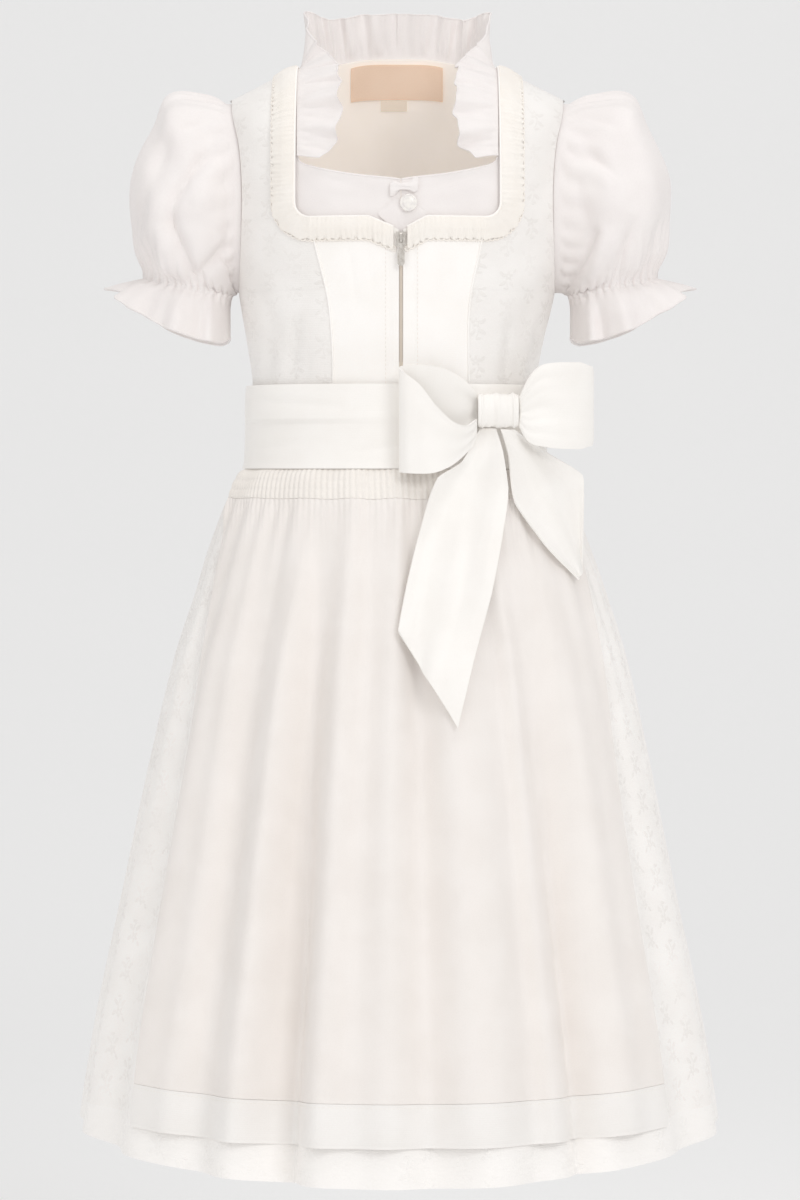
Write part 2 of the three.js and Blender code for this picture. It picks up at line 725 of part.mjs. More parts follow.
for (const [word, start] of [['front', -90], ['back', 90]]) {
  const grid = skirtParts.map((part) => {
    const line = [];
    for (let column = 0; column <= skirtColumns; column += 1) {
      const wide = lerp(start, start + 180, column / skirtColumns) * degree;
      const height = lerp(skirtTop, hemHeight(wide), part);
      const trim = seamGap / 2 / sectionAt(skirtSections, height).front;
      const edge = column === 0 ? trim : 0;
      const angle = wide + edge - (column === skirtColumns ? trim : 0);
      line.push(new THREE.Vector3(...foldedForm(angle, height)));
    }
    return line;
  });
  const wall = closeWall(grid, backOf(grid, clothWall, false), false);
  addSolid(`skirt_${word}`, 'jacquard', keepBehindSeam(wall, word === 'front' ? -1 : 1));
}

// Apron: a smocked heading, a gathered panel and a satin hem band that follow the skirt's folds.
const apronSections = [
  { height: -274, half: 80 },
  { height: -295, half: 74 },
  { height: -340, half: 66 },
  { height: -430, half: 60 },
  { height: -560, half: 56 },
  { height: -718, half: 53 },
];
const apronColumns = 40;
const apronRows = [0, 0.08, 0.2, 0.36, 0.56, 0.78, 1];
const apronWall = 0.9;
const bandWall = 1.3;

// Folds of the apron itself, in degrees round the skirt, and their height above the skirt's folds.
const apronFolds = [
  { angle: -44, spread: 4, depth: 3 },
  { angle: -27, spread: 4, depth: 4 },
  { angle: -13, spread: 5, depth: 6 },
  { angle: -3, spread: 5, depth: 4 },
  { angle: 10, spread: 5, depth: 4 },
  { angle: 27, spread: 4, depth: 5 },
  { angle: 42, spread: 4, depth: 4 },
];

function apronLiftAt(angle, height) {
  const begin = smooth((apronTop - height) / 150);
  let lift = skirtWave(angle, height) + apronLift;
  for (const fold of apronFolds) {
    lift += fold.depth * begin * Math.exp(-(((angle / degree - fold.angle) / fold.spread) ** 2));
  }
  return lift;
}

function apronPoint(across, height, extra) {
  const angle = across * columnAt(apronSections, 'half', height) * degree;
  return liftFrom(skirtForm, angle, height, apronLiftAt(angle, height) + extra);
}

function apronGrid(top, bottom, rows, columns, extra) {
  return rows.map((part) => {
    const line = [];
    for (let column = 0; column <= columns; column += 1) {
      line.push(apronPoint(lerp(-1, 1, column / columns), lerp(top, bottom, part), extra));
    }
    return line;
  });
}

const panelGrid = apronGrid(smockBottom - seamGap, bandTop + seamGap / 2, apronRows, apronColumns, 0);
addSolid('apron_panel', 'sheer', closeWall(panelGrid, backOf(panelGrid, -apronWall, false), false));
const bandGrid = apronGrid(bandTop - seamGap / 2, apronHem, [0, 1], apronColumns, 0.4);
addSolid('apron_hem_band', 'satin', closeWall(bandGrid, backOf(bandGrid, -bandWall, false), false));

// The heading's fine pleats are raised in the outer points over a plain inside.
const smockPleats = 74;
const smockHeight = 1.1;
const smockWall = 1.0;
const smockRows = [apronTop, smockBottom];
const smockPoint = (column, height, raised) => {
  const across = lerp(-1, 1, column / (2 * smockPleats));
  const angle = across * columnAt(apronSections, 'half', height) * degree;
  const ridge = raised && column % 2 === 1 ? smockHeight : 0;
  const lift = skirtWave(angle, height) + apronLift + ridge;
  return liftFrom(skirtForm, angle, height, raised ? lift : lift - smockWall);
};
const smockLine = (height, raised) => Array.from(
  { length: 2 * smockPleats + 1 },
  (_, column) => smockPoint(column, height, raised),
);
const smockOuter = smockRows.map((height) => smockLine(height, true));
const smockInner = smockRows.map((height) => smockLine(height, false));
addSolid('apron_heading', 'sheer', closeWall(smockOuter, smockInner, false));

// Sash: a smooth band round the waist over the seam of bodice and skirt.
const sashColumns = 36;
const sashFlare = 1.2;
const sashHeights = [-214.5, -220, -241, -262, -273];
const sashRound = [-0.8, 0, 0.5, 0.4, 0];

function waistForm(angle, height) {
  return height > waistHeight ? bodyForm(angle, height - chestHeight) : skirtForm(angle, height);
}

const sashRow = (height, lift) => Array.from({ length: sashColumns }, (_, column) => {
  const angle = 2 * Math.PI * column / sashColumns;
  return new THREE.Vector3(...waistForm(angle, height)).add(outFrom(angle, lift));
});

function outFrom(angle, lift) {
  const section = sectionAt(bodySections, waistHeight);
  const flat = new THREE.Vector3(section.front * Math.sin(angle), -section.half * Math.cos(angle), 0);
  return flat.normalize().multiplyScalar(lift);
}

const sashOuter = sashHeights.map((height, row) => sashRow(height, sashLift + sashRound[row]));
const sashInner = sashHeights.map((height) => {
  return sashRow(height, sashLift - sashWall + (height < waistHeight ? sashFlare : 0));
});
addSolid('sash_band', 'satin', closeWall(sashOuter, sashInner, true));

// Bow: a knot that wraps the middle, two loops and two slant-cut tails.
const knotX = 67;
const knotZ = -233;
const knotHalfLength = 14;
const knotHalfHeight = 12.5;
const knotHalfDepth = 8.5;
const knotWall = 1.6;
const knotSink = 3.2;
const loopSink = 0.9;

function sashFrontAt(x, height) {
  const section = sectionAt(height > waistHeight ? bodySections : skirtSections, height);
  const angle = angleAtX(section, x);
  return new THREE.Vector3(...waistForm(angle, height)).add(outFrom(angle, sashLift + 0.6)).y;
}

const knotY = sashFrontAt(knotX - knotHalfLength, knotZ) - knotHalfDepth + knotSink;
const knotColumns = 14;
const knotLengths = [-1, -0.7, 0, 0.7, 1];
const knotSwell = [0.88, 1, 0.94, 1, 0.9];
const knotTurn = 0.18;
const knotRing = (less) => knotLengths.map((part, row) => {
  return Array.from({ length: knotColumns }, (_, column) => {
    const angle = 2 * Math.PI * column / knotColumns;
    const high = knotHalfHeight * knotSwell[row] - less;
    const deep = knotHalfDepth * knotSwell[row] - less;
    const turnY = knotTurn * part * knotHalfLength;
    const x = knotX + part * knotHalfLength;
    return new THREE.Vector3(x, knotY + turnY + deep * Math.sin(angle), knotZ + high * Math.cos(angle));
  });
});
addSolid('bow_knot', 'satin', closeWall(knotRing(0), knotRing(knotWall), true));

// The left loop is a ribbon that leaves the knot along the sash, turns at its left end and comes
// back in front. Each row gives its place along x, how far in front of the sash it lies, its
// lower and upper edge, and how far the upper edge leans ahead.
const leftLoop = [
  { x: 52.2, near: 1.4, low: -243, high: -222, lean: 0 },
  { x: 44, near: 1.2, low: -254, high: -213, lean: 2 },
  { x: 28, near: 1.1, low: -267, high: -204, lean: 6 },
  { x: 12, near: 1.6, low: -273, high: -202, lean: 8 },
  { x: 2, near: 5.5, low: -275, high: -202.5, lean: 6 },
  { x: -1.5, near: 12, low: -275.5, high: -204, lean: 2 },
  { x: 2.5, near: 18, low: -276, high: -207.5, lean: -1 },
  { x: 12, near: 21.5, low: -276.5, high: -215, lean: -3 },
  { x: 24, near: 22.5, low: -275.5, high: -230, lean: -3 },
  { x: 36, near: 21, low: -270, high: -241, lean: -2 },
  { x: 46, near: 17, low: -261, high: -243.5, lean: -1 },
  { x: 52.2, near: 11, low: -253, high: -239, lean: 0 },
];
const ribbonColumns = 5;
const loopWall = 1.3;
const leftGrid = leftLoop.map((row) => Array.from({ length: ribbonColumns + 1 }, (_, column) => {
  const across = column / ribbonColumns;
  const seat = sashFrontAt(row.x, sashBottom + 1) + loopSink;
  return new THREE.Vector3(row.x, seat - row.near - row.lean * across ** 2, lerp(row.low, row.high, across));
}));
addSolid('bow_loop_left', 'satin', closeWall(leftGrid, backOf(leftGrid, -loopWall, false), false));

// The right loop is seen from its outer side: it flares fast from the knot to the fold at its end.
const rightLoopStart = knotX + knotHalfLength + 1.6;
const rightLoopEnd = 133;
const rightLoopRows = [-1, -0.4, 0.4, 1];
const loopColumns = 20;
const loopFlare = { root: 10.5, full: 30, share: 0.13, end: 2.5 };
const loopMiddle = { root: -234, end: -229.5 };
const loopOpen = { root: 3.2, end: 8.5 };
const loopCrease = { depth: 1.6, half: 0.3 };
const loopBack = { root: -1.5, end: 24, bend: 1.7 };
const rightGrid = rightLoopRows.map((part) => Array.from({ length: loopColumns }, (_, column) => {
  const angle = 2 * Math.PI * column / loopColumns;
  const away = 0.5 - 0.5 * Math.cos(angle);
  const x = lerp(rightLoopStart, rightLoopEnd, away);
  const flared = lerp(loopFlare.full, loopFlare.root, Math.exp(-away / loopFlare.share));
  const reach = flared - loopFlare.end * smooth(away * 5 - 4);
  const middle = lerp(loopMiddle.root, loopMiddle.end, smooth(away * 3));
  const open = lerp(loopOpen.root, loopOpen.end, away) * Math.sin(angle);
  const fade = (1 - away) * Math.sign(Math.sin(angle));
  const crease = loopCrease.depth * Math.exp(-((part / loopCrease.half) ** 2)) * fade;
  const back = knotY + lerp(loopBack.root, loopBack.end, away ** loopBack.bend);
  return new THREE.Vector3(x, back - open + crease, middle + part * reach);
}));
addSolid('bow_loop_right', 'satin', closeWall(rightGrid, backOf(rightGrid, -loopWall, true), true));

// Each tail's row gives its left and right end. The last row is the slanting cut.
const leftTail = [
  { leftX: 54.5, leftZ: -245.85, rightX: 65.5, rightZ: -245.85, clear: 2 },
  { leftX: 41, leftZ: -268.5, rightX: 70, rightZ: -262, clear: 2 },
  { leftX: 25, leftZ: -279, rightX: 73.5, rightZ: -286, clear: 3.5 },
  { leftX: 11, leftZ: -321, rightX: 69, rightZ: -321, clear: 3.5 },
  { leftX: 3.5, leftZ: -352, rightX: 61, rightZ: -358, clear: 3.5 },
  { leftX: -2, leftZ: -381, rightX: 49, rightZ: -401, clear: 3.5 },
  { leftX: -1.2, leftZ: -384, rightX: 38, rightZ: -446, clear: 3.5 },
];
const rightTail = [
  { leftX: 68.5, leftZ: -245.9, rightX: 78.5, rightZ: -245.9, clear: 2 },
  { leftX: 73.5, leftZ: -264, rightX: 100, rightZ: -261, clear: 2.4 },
  { leftX: 78, leftZ: -297, rightX: 126, rightZ: -277, clear: 3.5 },
  { leftX: 98, leftZ: -325, rightX: 127.5, rightZ: -292, clear: 3.5 },
  { leftX: 122.5, leftZ: -350, rightX: 126, rightZ: -343, clear: 3.5 },
];
const tailColumns = 8;
const tailWall = 1.2;
const tailRipple = 2.2;

// Past the waist's side a tail hangs free, no further back than this slanting plane.
const tailSwing = { x: 70, y: -80, slope: 0.5 };
const tailRoot = 1;

// Everything that hangs in front of the apron clears its outermost fold at that place.
function apronFrontAt(x, height) {
  const low = Math.min(height, apronTop);
  const section = sectionAt(skirtSections, low);
  const angle = angleAtX(section, x);
  let nearest = 0;
  for (const away of [-4, -2, 0, 2, 4]) {
    const turned = angle + away * degree;
    const point = liftFrom(skirtForm, turned, low, apronLiftAt(turned, low) + apronWall);
    nearest = Math.min(nearest, point.y);
  }
  const sash = sashFrontAt(x, Math.max(height, sashBottom + 1));
  return Math.min(sash, lerp(nearest, sash, smooth((height - apronTop) / (sashBottom + 6 - apronTop))));
}

for (const [word, table, turn] of [['left', leftTail, 1], ['right', rightTail, 2]]) {
  const grid = table.map((row, place) => Array.from({ length: tailColumns + 1 }, (_, column) => {
    const across = column / tailColumns;
    const x = lerp(row.leftX, row.rightX, across);
    const z = lerp(row.leftZ, row.rightZ, across);
    const ripple = tailRipple * Math.min(1, place / 2) * (1 + Math.cos(2 * Math.PI * across * 1.5 + turn));
    const hung = tailSwing.y + (x - tailSwing.x) * tailSwing.slope;
    const low = Math.min(apronFrontAt(x, z) - row.clear, hung) - ripple;
    return new THREE.Vector3(x, place === 0 ? knotY + tailRoot : low, z);
  }));
  grid.reverse();
  addSolid(`bow_tail_${word}`, 'satin', closeWall(grid, backOf(grid, -tailWall, false), false));
}

// Bare woven label and size tag on the inside of the blouse's back.
const labelWall = 0.6;
const labelColumns = 6;
function napePatch(left, right, top, bottom, lift) {
  return [bottom, (top + bottom) / 2, top].map((rise) => {
    return Array.from({ length: labelColumns + 1 }, (_, column) => {
      const x = lerp(right, left, column / labelColumns);
      return [turnBack(angleAtX(bodySection(rise), x)), rise];
    });
  }).map((line) => line.map(([angle, rise]) => liftFrom(bodyForm, angle, rise, lift)));
}
const labelLift = -blouseInset - blouseWall - seamGap - 0.3;
const label = { left: -37, right: 31, top: 73, bottom: 59 };
const tag = { left: -14.6, right: 4.4, top: 58.6, bottom: 54.5 };
for (const [name, patch] of [['neck_label', label], ['size_tag', tag]]) {
  const near = napePatch(patch.left, patch.right, patch.top, patch.bottom, labelLift);
  const far = napePatch(patch.left, patch.right, patch.top, patch.bottom, labelLift - labelWall);
  addSolid(name, 'woven', closeWall(near, far, false));
}

// Centre-front zip: the chain between the fronts, the slider and its hanging pull tab.
const zipTop = -112;
const zipBottom = -241;
const chainRows = 8;
const chainGrid = Array.from({ length: chainRows + 1 }, (_, row) => {
  const rise = lerp(zipBottom, zipTop, row / chainRows) - chestHeight;
  return [-zipHalf, 0, zipHalf].map((x) => [angleAtX(bodySection(rise), x), rise]);
});
addSolid('zip_chain', 'metal', formWall(bodyForm, chainGrid, -0.1, 1.0, false));

const wasm = await Module();
wasm.setup();

// An outline with at most one opening, made solid to a depth and then placed.
function plateSolid(outline, opening, depth, placing) {
  const corners = outline.map(([across, up]) => new THREE.Vector2(across, up));
  const shape = new THREE.Shape(THREE.ShapeUtils.isClockWise(corners) ? corners.reverse() : corners);
  if (opening.length > 0) {
    shape.holes.push(new THREE.Path(opening.map(([across, up]) => new THREE.Vector2(across, up))));
  }
  const geometry = new THREE.ExtrudeGeometry(shape, { depth, bevelEnabled: false });
  geometry.applyMatrix4(placing);
  return weld(geometry);
}

// Joins equal points, so that a geometry becomes one closed surface.
function weld(geometry) {
  const places = geometry.getAttribute('position');
  const index = geometry.getIndex();
  const count = index ? index.count : places.count;
  const points = [];
  const known = new Map();
  const order = [];
  for (let corner = 0; corner < count; corner += 1) {
    const point = new THREE.Vector3().fromBufferAttribute(places, index ? index.getX(corner) : corner);
    const key = point.toArray().map((value) => Math.round(value * 10000)).join(' ');
    if (!known.has(key)) {
      known.set(key, points.length);
      points.push(point);
    }
    order.push(known.get(key));
  }
  const faces = [];
  for (let corner = 0; corner < count; corner += 3) {
    const face = order.slice(corner, corner + 3);
    if (new Set(face).size === 3) {
      faces.push(face);
    }
  }
  return { points, faces };
}

function toManifold({ points, faces }) {
  const vertProperties = new Float32Array(points.flatMap((point) => point.toArray()));
  const triVerts = new Uint32Array(faces.flat());
  return new wasm.Manifold(new wasm.Mesh({ numProp: 3, vertProperties, triVerts }));
}

function fromManifold(manifold) {
  const mesh = manifold.getMesh();
  const points = [];
  for (let place = 0; place < mesh.vertProperties.length; place += mesh.numProp) {
    points.push(new THREE.Vector3(...mesh.vertProperties.slice(place, place + 3)));
  }
  const faces = [];
  for (let corner = 0; corner < mesh.triVerts.length; corner += 3) {
    faces.push(Array.from(mesh.triVerts.slice(corner, corner + 3)));
  }
  return { points, faces };
}

// The slider is a tapered plate on the fronts with a bridge, whose opening holds the pull's bar.
const sliderTop = -110.5;
const sliderBottom = -120;
const sliderHalfTop = 3.6;
const sliderHalfBottom = 2.6;
const sliderBack = -87.7;
const sliderPlate = 1.9;
const bridgeHalfWidth = 0.8;
const bridgeBar = 1.0;
const pullAxisZ = -114.6;
const pullReach = 2.0;
const pullRoom = 1.9;
const sliderFront = sliderBack - sliderPlate;
const pullAxisY = sliderFront - pullRoom / 2;
const plateOutline = [
  [-sliderHalfTop, sliderTop],
  [-sliderHalfBottom, sliderBottom],
  [sliderHalfBottom, sliderBottom],
  [sliderHalfTop, sliderTop],
];
const facePlate = new THREE.Matrix4().makeRotationX(Math.PI / 2).setPosition(0, sliderBack, 0);
const plate = plateSolid(plateOutline, [], sliderPlate, facePlate);
const bridgeTop = pullAxisZ + pullReach + bridgeBar;
const bridgeFoot = pullAxisZ - pullReach - bridgeBar;
const bridgeFront = sliderFront - pullRoom - bridgeBar;
const bridgeOutline = [
  [sliderBack - 0.4, bridgeTop],
  [sliderBack - 0.4, bridgeFoot],
  [bridgeFront + 0.5, bridgeFoot],
  [bridgeFront, bridgeFoot + 0.6],
  [bridgeFront, bridgeTop - 0.6],
  [bridgeFront + 0.5, bridgeTop],
];
const bridgeOpening = [
  [sliderFront, pullAxisZ + pullReach],
  [sliderFront, pullAxisZ - pullReach],
  [sliderFront - pullRoom, pullAxisZ - pullReach],
  [sliderFront - pullRoom, pullAxisZ + pullReach],
];
const turnBridge = new THREE.Matrix4().makeBasis(
  new THREE.Vector3(0, 1, 0),
  new THREE.Vector3(0, 0, 1),
  new THREE.Vector3(1, 0, 0),
);
turnBridge.setPosition(-bridgeHalfWidth, 0, 0);
const bridge = plateSolid(bridgeOutline, bridgeOpening, 2 * bridgeHalfWidth, turnBridge);
addSolid('zip_slider', 'metal', fromManifold(toManifold(plate).add(toManifold(bridge))));

// The pull hangs by its top bar, whose middle is the hinge's axis.
const pullWall = 0.9;
const pullHalf = 2.6;
const pullEnd = -134;
const pullBarHalf = 0.5;
const pullEye = 3.7;
const pullOutline = [
  [-pullHalf + 0.8, pullAxisZ + pullBarHalf],
  [-pullHalf, pullAxisZ - 0.3],
  [-pullHalf, pullAxisZ - pullEye - 0.8],
  [-1.5, pullAxisZ - pullEye - 3],
  [-1.5, pullAxisZ - pullEye - 4.5],
  [-pullHalf + 0.2, pullAxisZ - pullEye - 7],
  [-pullHalf + 0.2, pullEnd + 1.5],
  [-1.2, pullEnd],
];
const pullMirror = [...pullOutline].reverse().map(([across, up]) => [-across, up]);
const pullOpening = [
  [-1.5, pullAxisZ - pullBarHalf],
  [-1.5, pullAxisZ - pullEye],
  [1.5, pullAxisZ - pullEye],
  [1.5, pullAxisZ - pullBarHalf],
];
const facePull = new THREE.Matrix4().makeRotationX(Math.PI / 2);
facePull.setPosition(0, pullAxisY + pullWall / 2, 0);
const pull = plateSolid([...pullOutline, ...pullMirror], pullOpening, pullWall, facePull);
addSolid('zip_pull', 'metal', pull);

// At the blouse's closing: a pointed tab, a domed button on it and a little tied bow above.
const tabSections = [
  { height: -111, half: 3 },
  { height: -104, half: 11 },
  { height: -97, half: 17 },
  { height: -92, half: 12 },
  { height: -88, half: 6 },
];
const tabX = 1;
const tabWall = 0.7;
const tabLift = -blouseInset + seamGap + tabWall;
const tabGrid = tabSections.map(({ height, half }) => [-1, -0.5, 0, 0.5, 1].map((across) => {
  const rise = riseAtHeight(height);
  return [angleAtX(bodySection(rise), tabX + across * half), rise];
}));
addSolid('blouse_tab', 'batiste', formWall(bodyForm, tabGrid, tabLift, tabWall, false));

const buttonX = 5.2;
const buttonY = -87.2;
const buttonZ = -90.4;
const buttonRadius = 6;
const buttonHalfDepth = 1.6;
const dome = new THREE.SphereGeometry(buttonRadius, 14, 6);
dome.scale(1, buttonHalfDepth / buttonRadius, 1);
dome.translate(buttonX, buttonY, buttonZ);
addSolid('blouse_button', 'pearl', weld(dome));

const tieX = 2.1;
const tieY = -85.35;
const tieZ = -79.2;
const tieHalfLength = 10;
const tieWall = 0.6;
const tieColumns = 8;
const tieHigh = { middle: 2.2, end: 4.8 };
const tieDeep = { middle: 1.9, end: 1.5 };
const tieRing = (less) => [-1, -0.55, 0, 0.55, 1].map((along) => {
  const spread = Math.abs(along);
  return Array.from({ length: tieColumns }, (_, column) => {
    const angle = 2 * Math.PI * column / tieColumns;
    const high = lerp(tieHigh.middle, tieHigh.end, spread) - less;
    const deep = lerp(tieDeep.middle, tieDeep.end, spread) - less;
    const x = tieX + along * tieHalfLength;
    return new THREE.Vector3(x, tieY + deep * Math.sin(angle), tieZ + high * Math.cos(angle));
  });
});
addSolid('blouse_bow', 'batiste', closeWall(tieRing(0), tieRing(tieWall), true));

export default group;
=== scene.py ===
import math
import bpy
import numpy as np
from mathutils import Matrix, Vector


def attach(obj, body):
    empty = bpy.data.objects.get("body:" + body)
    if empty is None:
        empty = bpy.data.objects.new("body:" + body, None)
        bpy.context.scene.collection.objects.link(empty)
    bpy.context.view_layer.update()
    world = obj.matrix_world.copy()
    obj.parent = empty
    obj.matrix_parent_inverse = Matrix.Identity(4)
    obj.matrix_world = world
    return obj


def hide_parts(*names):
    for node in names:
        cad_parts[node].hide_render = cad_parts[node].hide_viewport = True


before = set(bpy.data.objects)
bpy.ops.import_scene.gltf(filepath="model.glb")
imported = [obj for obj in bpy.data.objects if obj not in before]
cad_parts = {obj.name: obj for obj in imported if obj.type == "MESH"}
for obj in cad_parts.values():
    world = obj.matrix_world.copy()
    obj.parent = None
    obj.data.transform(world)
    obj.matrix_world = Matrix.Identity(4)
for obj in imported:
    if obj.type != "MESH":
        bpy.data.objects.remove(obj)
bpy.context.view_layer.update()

# Room
# A pale floor runs up into a pale backdrop behind the dress. A level camera stands as far off
# as the photograph's perspective asks, and soft light comes from in front and above.


def fill(node, values):
    """Sets the inputs of a node to values, or links them to wires."""
    for name, value in values.items():
        if isinstance(value, Wire):
            node.id_data.links.new(value.socket, node.inputs[name])
        else:
            node.inputs[name].default_value = value


class Wire:
    """A value in a node tree. Sums written on it add Math nodes."""

    def __init__(self, tree, socket=None):
        self.tree = tree
        self.socket = socket

    def node(self, kind, settings=None, values=None, output=0):
        made = self.tree.nodes.new(kind)
        for name, value in (settings or {}).items():
            setattr(made, name, value)
        fill(made, values or {})
        return Wire(self.tree, made.outputs[output])

    def out(self, name):
        return Wire(self.tree, self.socket.node.outputs[name])

    def place(self):
        return self.node("ShaderNodeTexCoord").out("Object")

    def noise(self, place, scale, detail):
        values = {"Vector": place, "Scale": scale, "Detail": detail}
        return self.node("ShaderNodeTexNoise", {}, values)

    def math(self, operation, first, second=0.0):
        return self.node("ShaderNodeMath", {"operation": operation}, {0: first, 1: second})

    def __add__(self, other):
        return self.math("ADD", self, other)

    def __radd__(self, other):
        return self.math("ADD", other, self)

    def __sub__(self, other):
        return self.math("SUBTRACT", self, other)

    def __rsub__(self, other):
        return self.math("SUBTRACT", other, self)

    def __mul__(self, other):
        return self.math("MULTIPLY", self, other)

    def __rmul__(self, other):
        return self.math("MULTIPLY", other, self)

    def __truediv__(self, other):
        return self.math("DIVIDE", self, other)

    def sine(self):
        return self.math("SINE", self)

    def part(self):
        return self.math("FRACT", self)

    def larger(self, other):
        return self.math("MAXIMUM", self, other)

    def step(self, low, high):
        settings = {"interpolation_type": "SMOOTHSTEP"}
        return self.node("ShaderNodeMapRange", settings, {"Value": self, "From Min": low, "From Max": high})

    def mix(self, first, second):
        values = {0: self, 6: first, 7: second}
        return self.node("ShaderNodeMix", {"data_type": "RGBA"}, values, 2)


def linear(red, green, blue):
    """A colour given as in a picture, from 0 to 255, for a shader."""
    shares = [value / 255 for value in (red, green, blue)]
    light = [share / 12.92 if share < 0.04 else ((share + 0.055) / 1.055) ** 2.4 for share in shares]
    return (*light, 1)


def new_finish(name):
    finish = bpy.data.materials.new(name)
    finish.use_nodes = True
    return finish, finish.node_tree.nodes["Principled BSDF"], Wire(finish.node_tree)


def add_object(name, data):
    made = bpy.data.objects.new(name, data)
    bpy.context.scene.collection.objects.link(made)
    return made


backdrop_finish, surface, start = new_finish("backdrop paper")
cloudy = start.noise(start.place(), 1.5, 1.0)
paper = cloudy.mix(linear(253, 253, 253), linear(255, 255, 255))
fill(surface, {"Base Color": paper, "Roughness": 1.0, "Specular IOR Level": 0.1})

floor_height = -0.98
backdrop_near = -4.0
backdrop_far = 3.2
backdrop_top = 3.2
backdrop_bend = 1.4
backdrop_half = 5.0
profile = [(backdrop_near, floor_height), (backdrop_far - backdrop_bend, floor_height)]
for turn in np.linspace(0.1, 1.0, 10) * math.pi / 2:
    far = backdrop_far - backdrop_bend + backdrop_bend * math.sin(turn)
    profile.append((far, floor_height + backdrop_bend - backdrop_bend * math.cos(turn)))
profile.append((backdrop_far, backdrop_top))
corners = [(side * backdrop_half, y, z) for y, z in profile for side in (-1, 1)]
sheets = [(2 * row, 2 * row + 1, 2 * row + 3, 2 * row + 2) for row in range(len(profile) - 1)]
floor_mesh = bpy.data.meshes.new("floor")
floor_mesh.from_pydata(corners, [], sheets)
floor_mesh.shade_smooth()
floor_mesh.materials.append(backdrop_finish)
add_object("floor", floor_mesh)

room_colour = (1.0, 0.995, 0.99, 1)
room_light = 0.7
world = bpy.data.worlds.new("soft room")
bpy.context.scene.world = world
world.use_nodes = True
fill(world.node_tree.nodes["Background"], {"Color": room_colour, "Strength": room_light})


def add_lamp(name, place, target, size, power):
    lamp_data = bpy.data.lights.new(name, "AREA")
    lamp_data.size = size
    lamp_data.energy = power
    lamp = add_object(name, lamp_data)
    lamp.location = place
    toward = Vector(target) - Vector(place)
    lamp.rotation_euler = toward.to_track_quat("-Z", "Y").to_euler()


add_lamp("key lamp", (1.2, -2.3, 1.0), (0, 0, -0.35), 0.9, 14)
add_lamp("fill lamp", (-1.3, -2.3, 0.0), (0, 0, -0.4), 1.4, 4)
add_lamp("top lamp", (0.0, -0.6, 2.1), (0, 0, -0.3), 1.6, 10)

bpy.context.scene.view_settings.view_transform = "Standard"
camera_place = (-0.0007, -2.4, -0.274)
camera_sensor = 36
camera_lens = 101.1
camera_shift = -0.1083
camera_data = bpy.data.cameras.new("camera")
camera_data.sensor_width = camera_sensor
camera_data.lens = camera_lens
camera_data.shift_y = camera_shift
camera = add_object("camera", camera_data)
camera.location = camera_place
camera.rotation_euler = (math.pi / 2, 0, 0)
bpy.context.scene.camera = camera

# Bodice
# Two side fronts, two side backs and a centre back in ivory jacquard, and two centre fronts in
# plain satin. Princess seams with a fine piping join them, and straps run over the shoulders.
millimetre = 0.001
degree = math.pi / 180
waist_height = -241
chest_height = -90
shoulder_height = 12
shoulder_drop = 23
shoulder_half = 118
neck_half = 71.3
neck_bottom = -100
neck_corner = 11
neck_dip = 9.5
neck_dip_half = 20
armhole_top = 12
armhole_bottom = -150
armhole_depth = 42
armhole_round = 2.2
seam_gap = 0.3
cloth_wall = 1.2
shoulder_arc = shoulder_height - chest_height
ridge_rise = shoulder_arc * math.pi / 2
waist_rise = waist_height - chest_height
slope_start = -60
nape_degrees = 42
nape_half = 70
nape_lift = 48
crease_blend = 30
sharp_edge = 65 * degree
both_sides = (("left", -1), ("right", 1))


def table(names, *rows):
    """A short table with named columns, as one array for each name."""
    columns = np.array(sorted(rows), float).T
    return dict(zip(names.split(), columns))


body_table = table(
    "height half front back shift",
    (-241, 101, 77, 74, -4),
    (-214, 101, 78, 76, -4.5),
    (-185, 105, 82, 78, -4.3),
    (-150, 112, 85, 82, -3),
    (-100, 118, 87, 84, -2.5),
    (-40, 119, 86, 84, -2.5),
    (12, 119, 85, 84, -2.5),
)
princess_table = table(
    "height half lean",
    (-241, 46.8, 0),
    (-215, 46.8, 0),
    (-157, 48.8, -1.3),
    (-121, 56.5, -2),
    (-100, 60.3, -2.4),
    (12, 60.3, -2.4),
)


def lerp(low, high, part):
    return low + (high - low) * part


def ease(value):
    part = np.clip(value, 0, 1)
    return part * part * (3 - 2 * part)


def column(rows, name, height):
    """Reads one column of a table at any height, on a smooth curve through its rows."""
    heights = rows["height"]
    values = rows[name]
    last = len(heights) - 1
    spot = np.clip(height, heights[0], heights[-1])
    row = np.clip(np.searchsorted(heights, spot) - 1, 0, last - 1)
    slopes = np.diff(values) / np.diff(heights)
    middle = slopes[row]
    before = slopes[np.maximum(row - 1, 0)]
    after = slopes[np.minimum(row + 1, last - 1)]
    begin = np.where(row > 0, np.where(before * middle <= 0, 0, (before + middle) / 2), middle)
    finish = np.where(row + 2 <= last, np.where(after * middle <= 0, 0, (after + middle) / 2), middle)
    span = heights[row + 1] - heights[row]
    part = (spot - heights[row]) / span
    square = part * part
    cube = square * part
    low_share = values[row] * (2 * cube - 3 * square + 1)
    high_share = values[row + 1] * (3 * square - 2 * cube)
    bend = begin * span * (cube - 2 * square + part) + finish * span * (cube - square)
    return low_share + high_share + bend


def section_at(rows, height, roundness=2.1):
    section = {name: column(rows, name, height) for name in ("half", "front", "back", "shift")}
    section["round"] = roundness
    return section


def ring_point(section, angle):
    across = np.sin(angle)
    along = np.cos(angle)
    power = section["round"]
    reach = (np.abs(across) ** power + np.abs(along) ** power) ** (-1 / power)
    depth = np.where(along >= 0, section["front"], section["back"])
    return section["shift"] + section["half"] * reach * across, -depth * reach * along


def angle_from_depth(section, depth):
    part = np.clip(depth / section["front"], 0, 1)
    return np.arctan2((1 - part ** section["round"]) ** (1 / section["round"]), part)


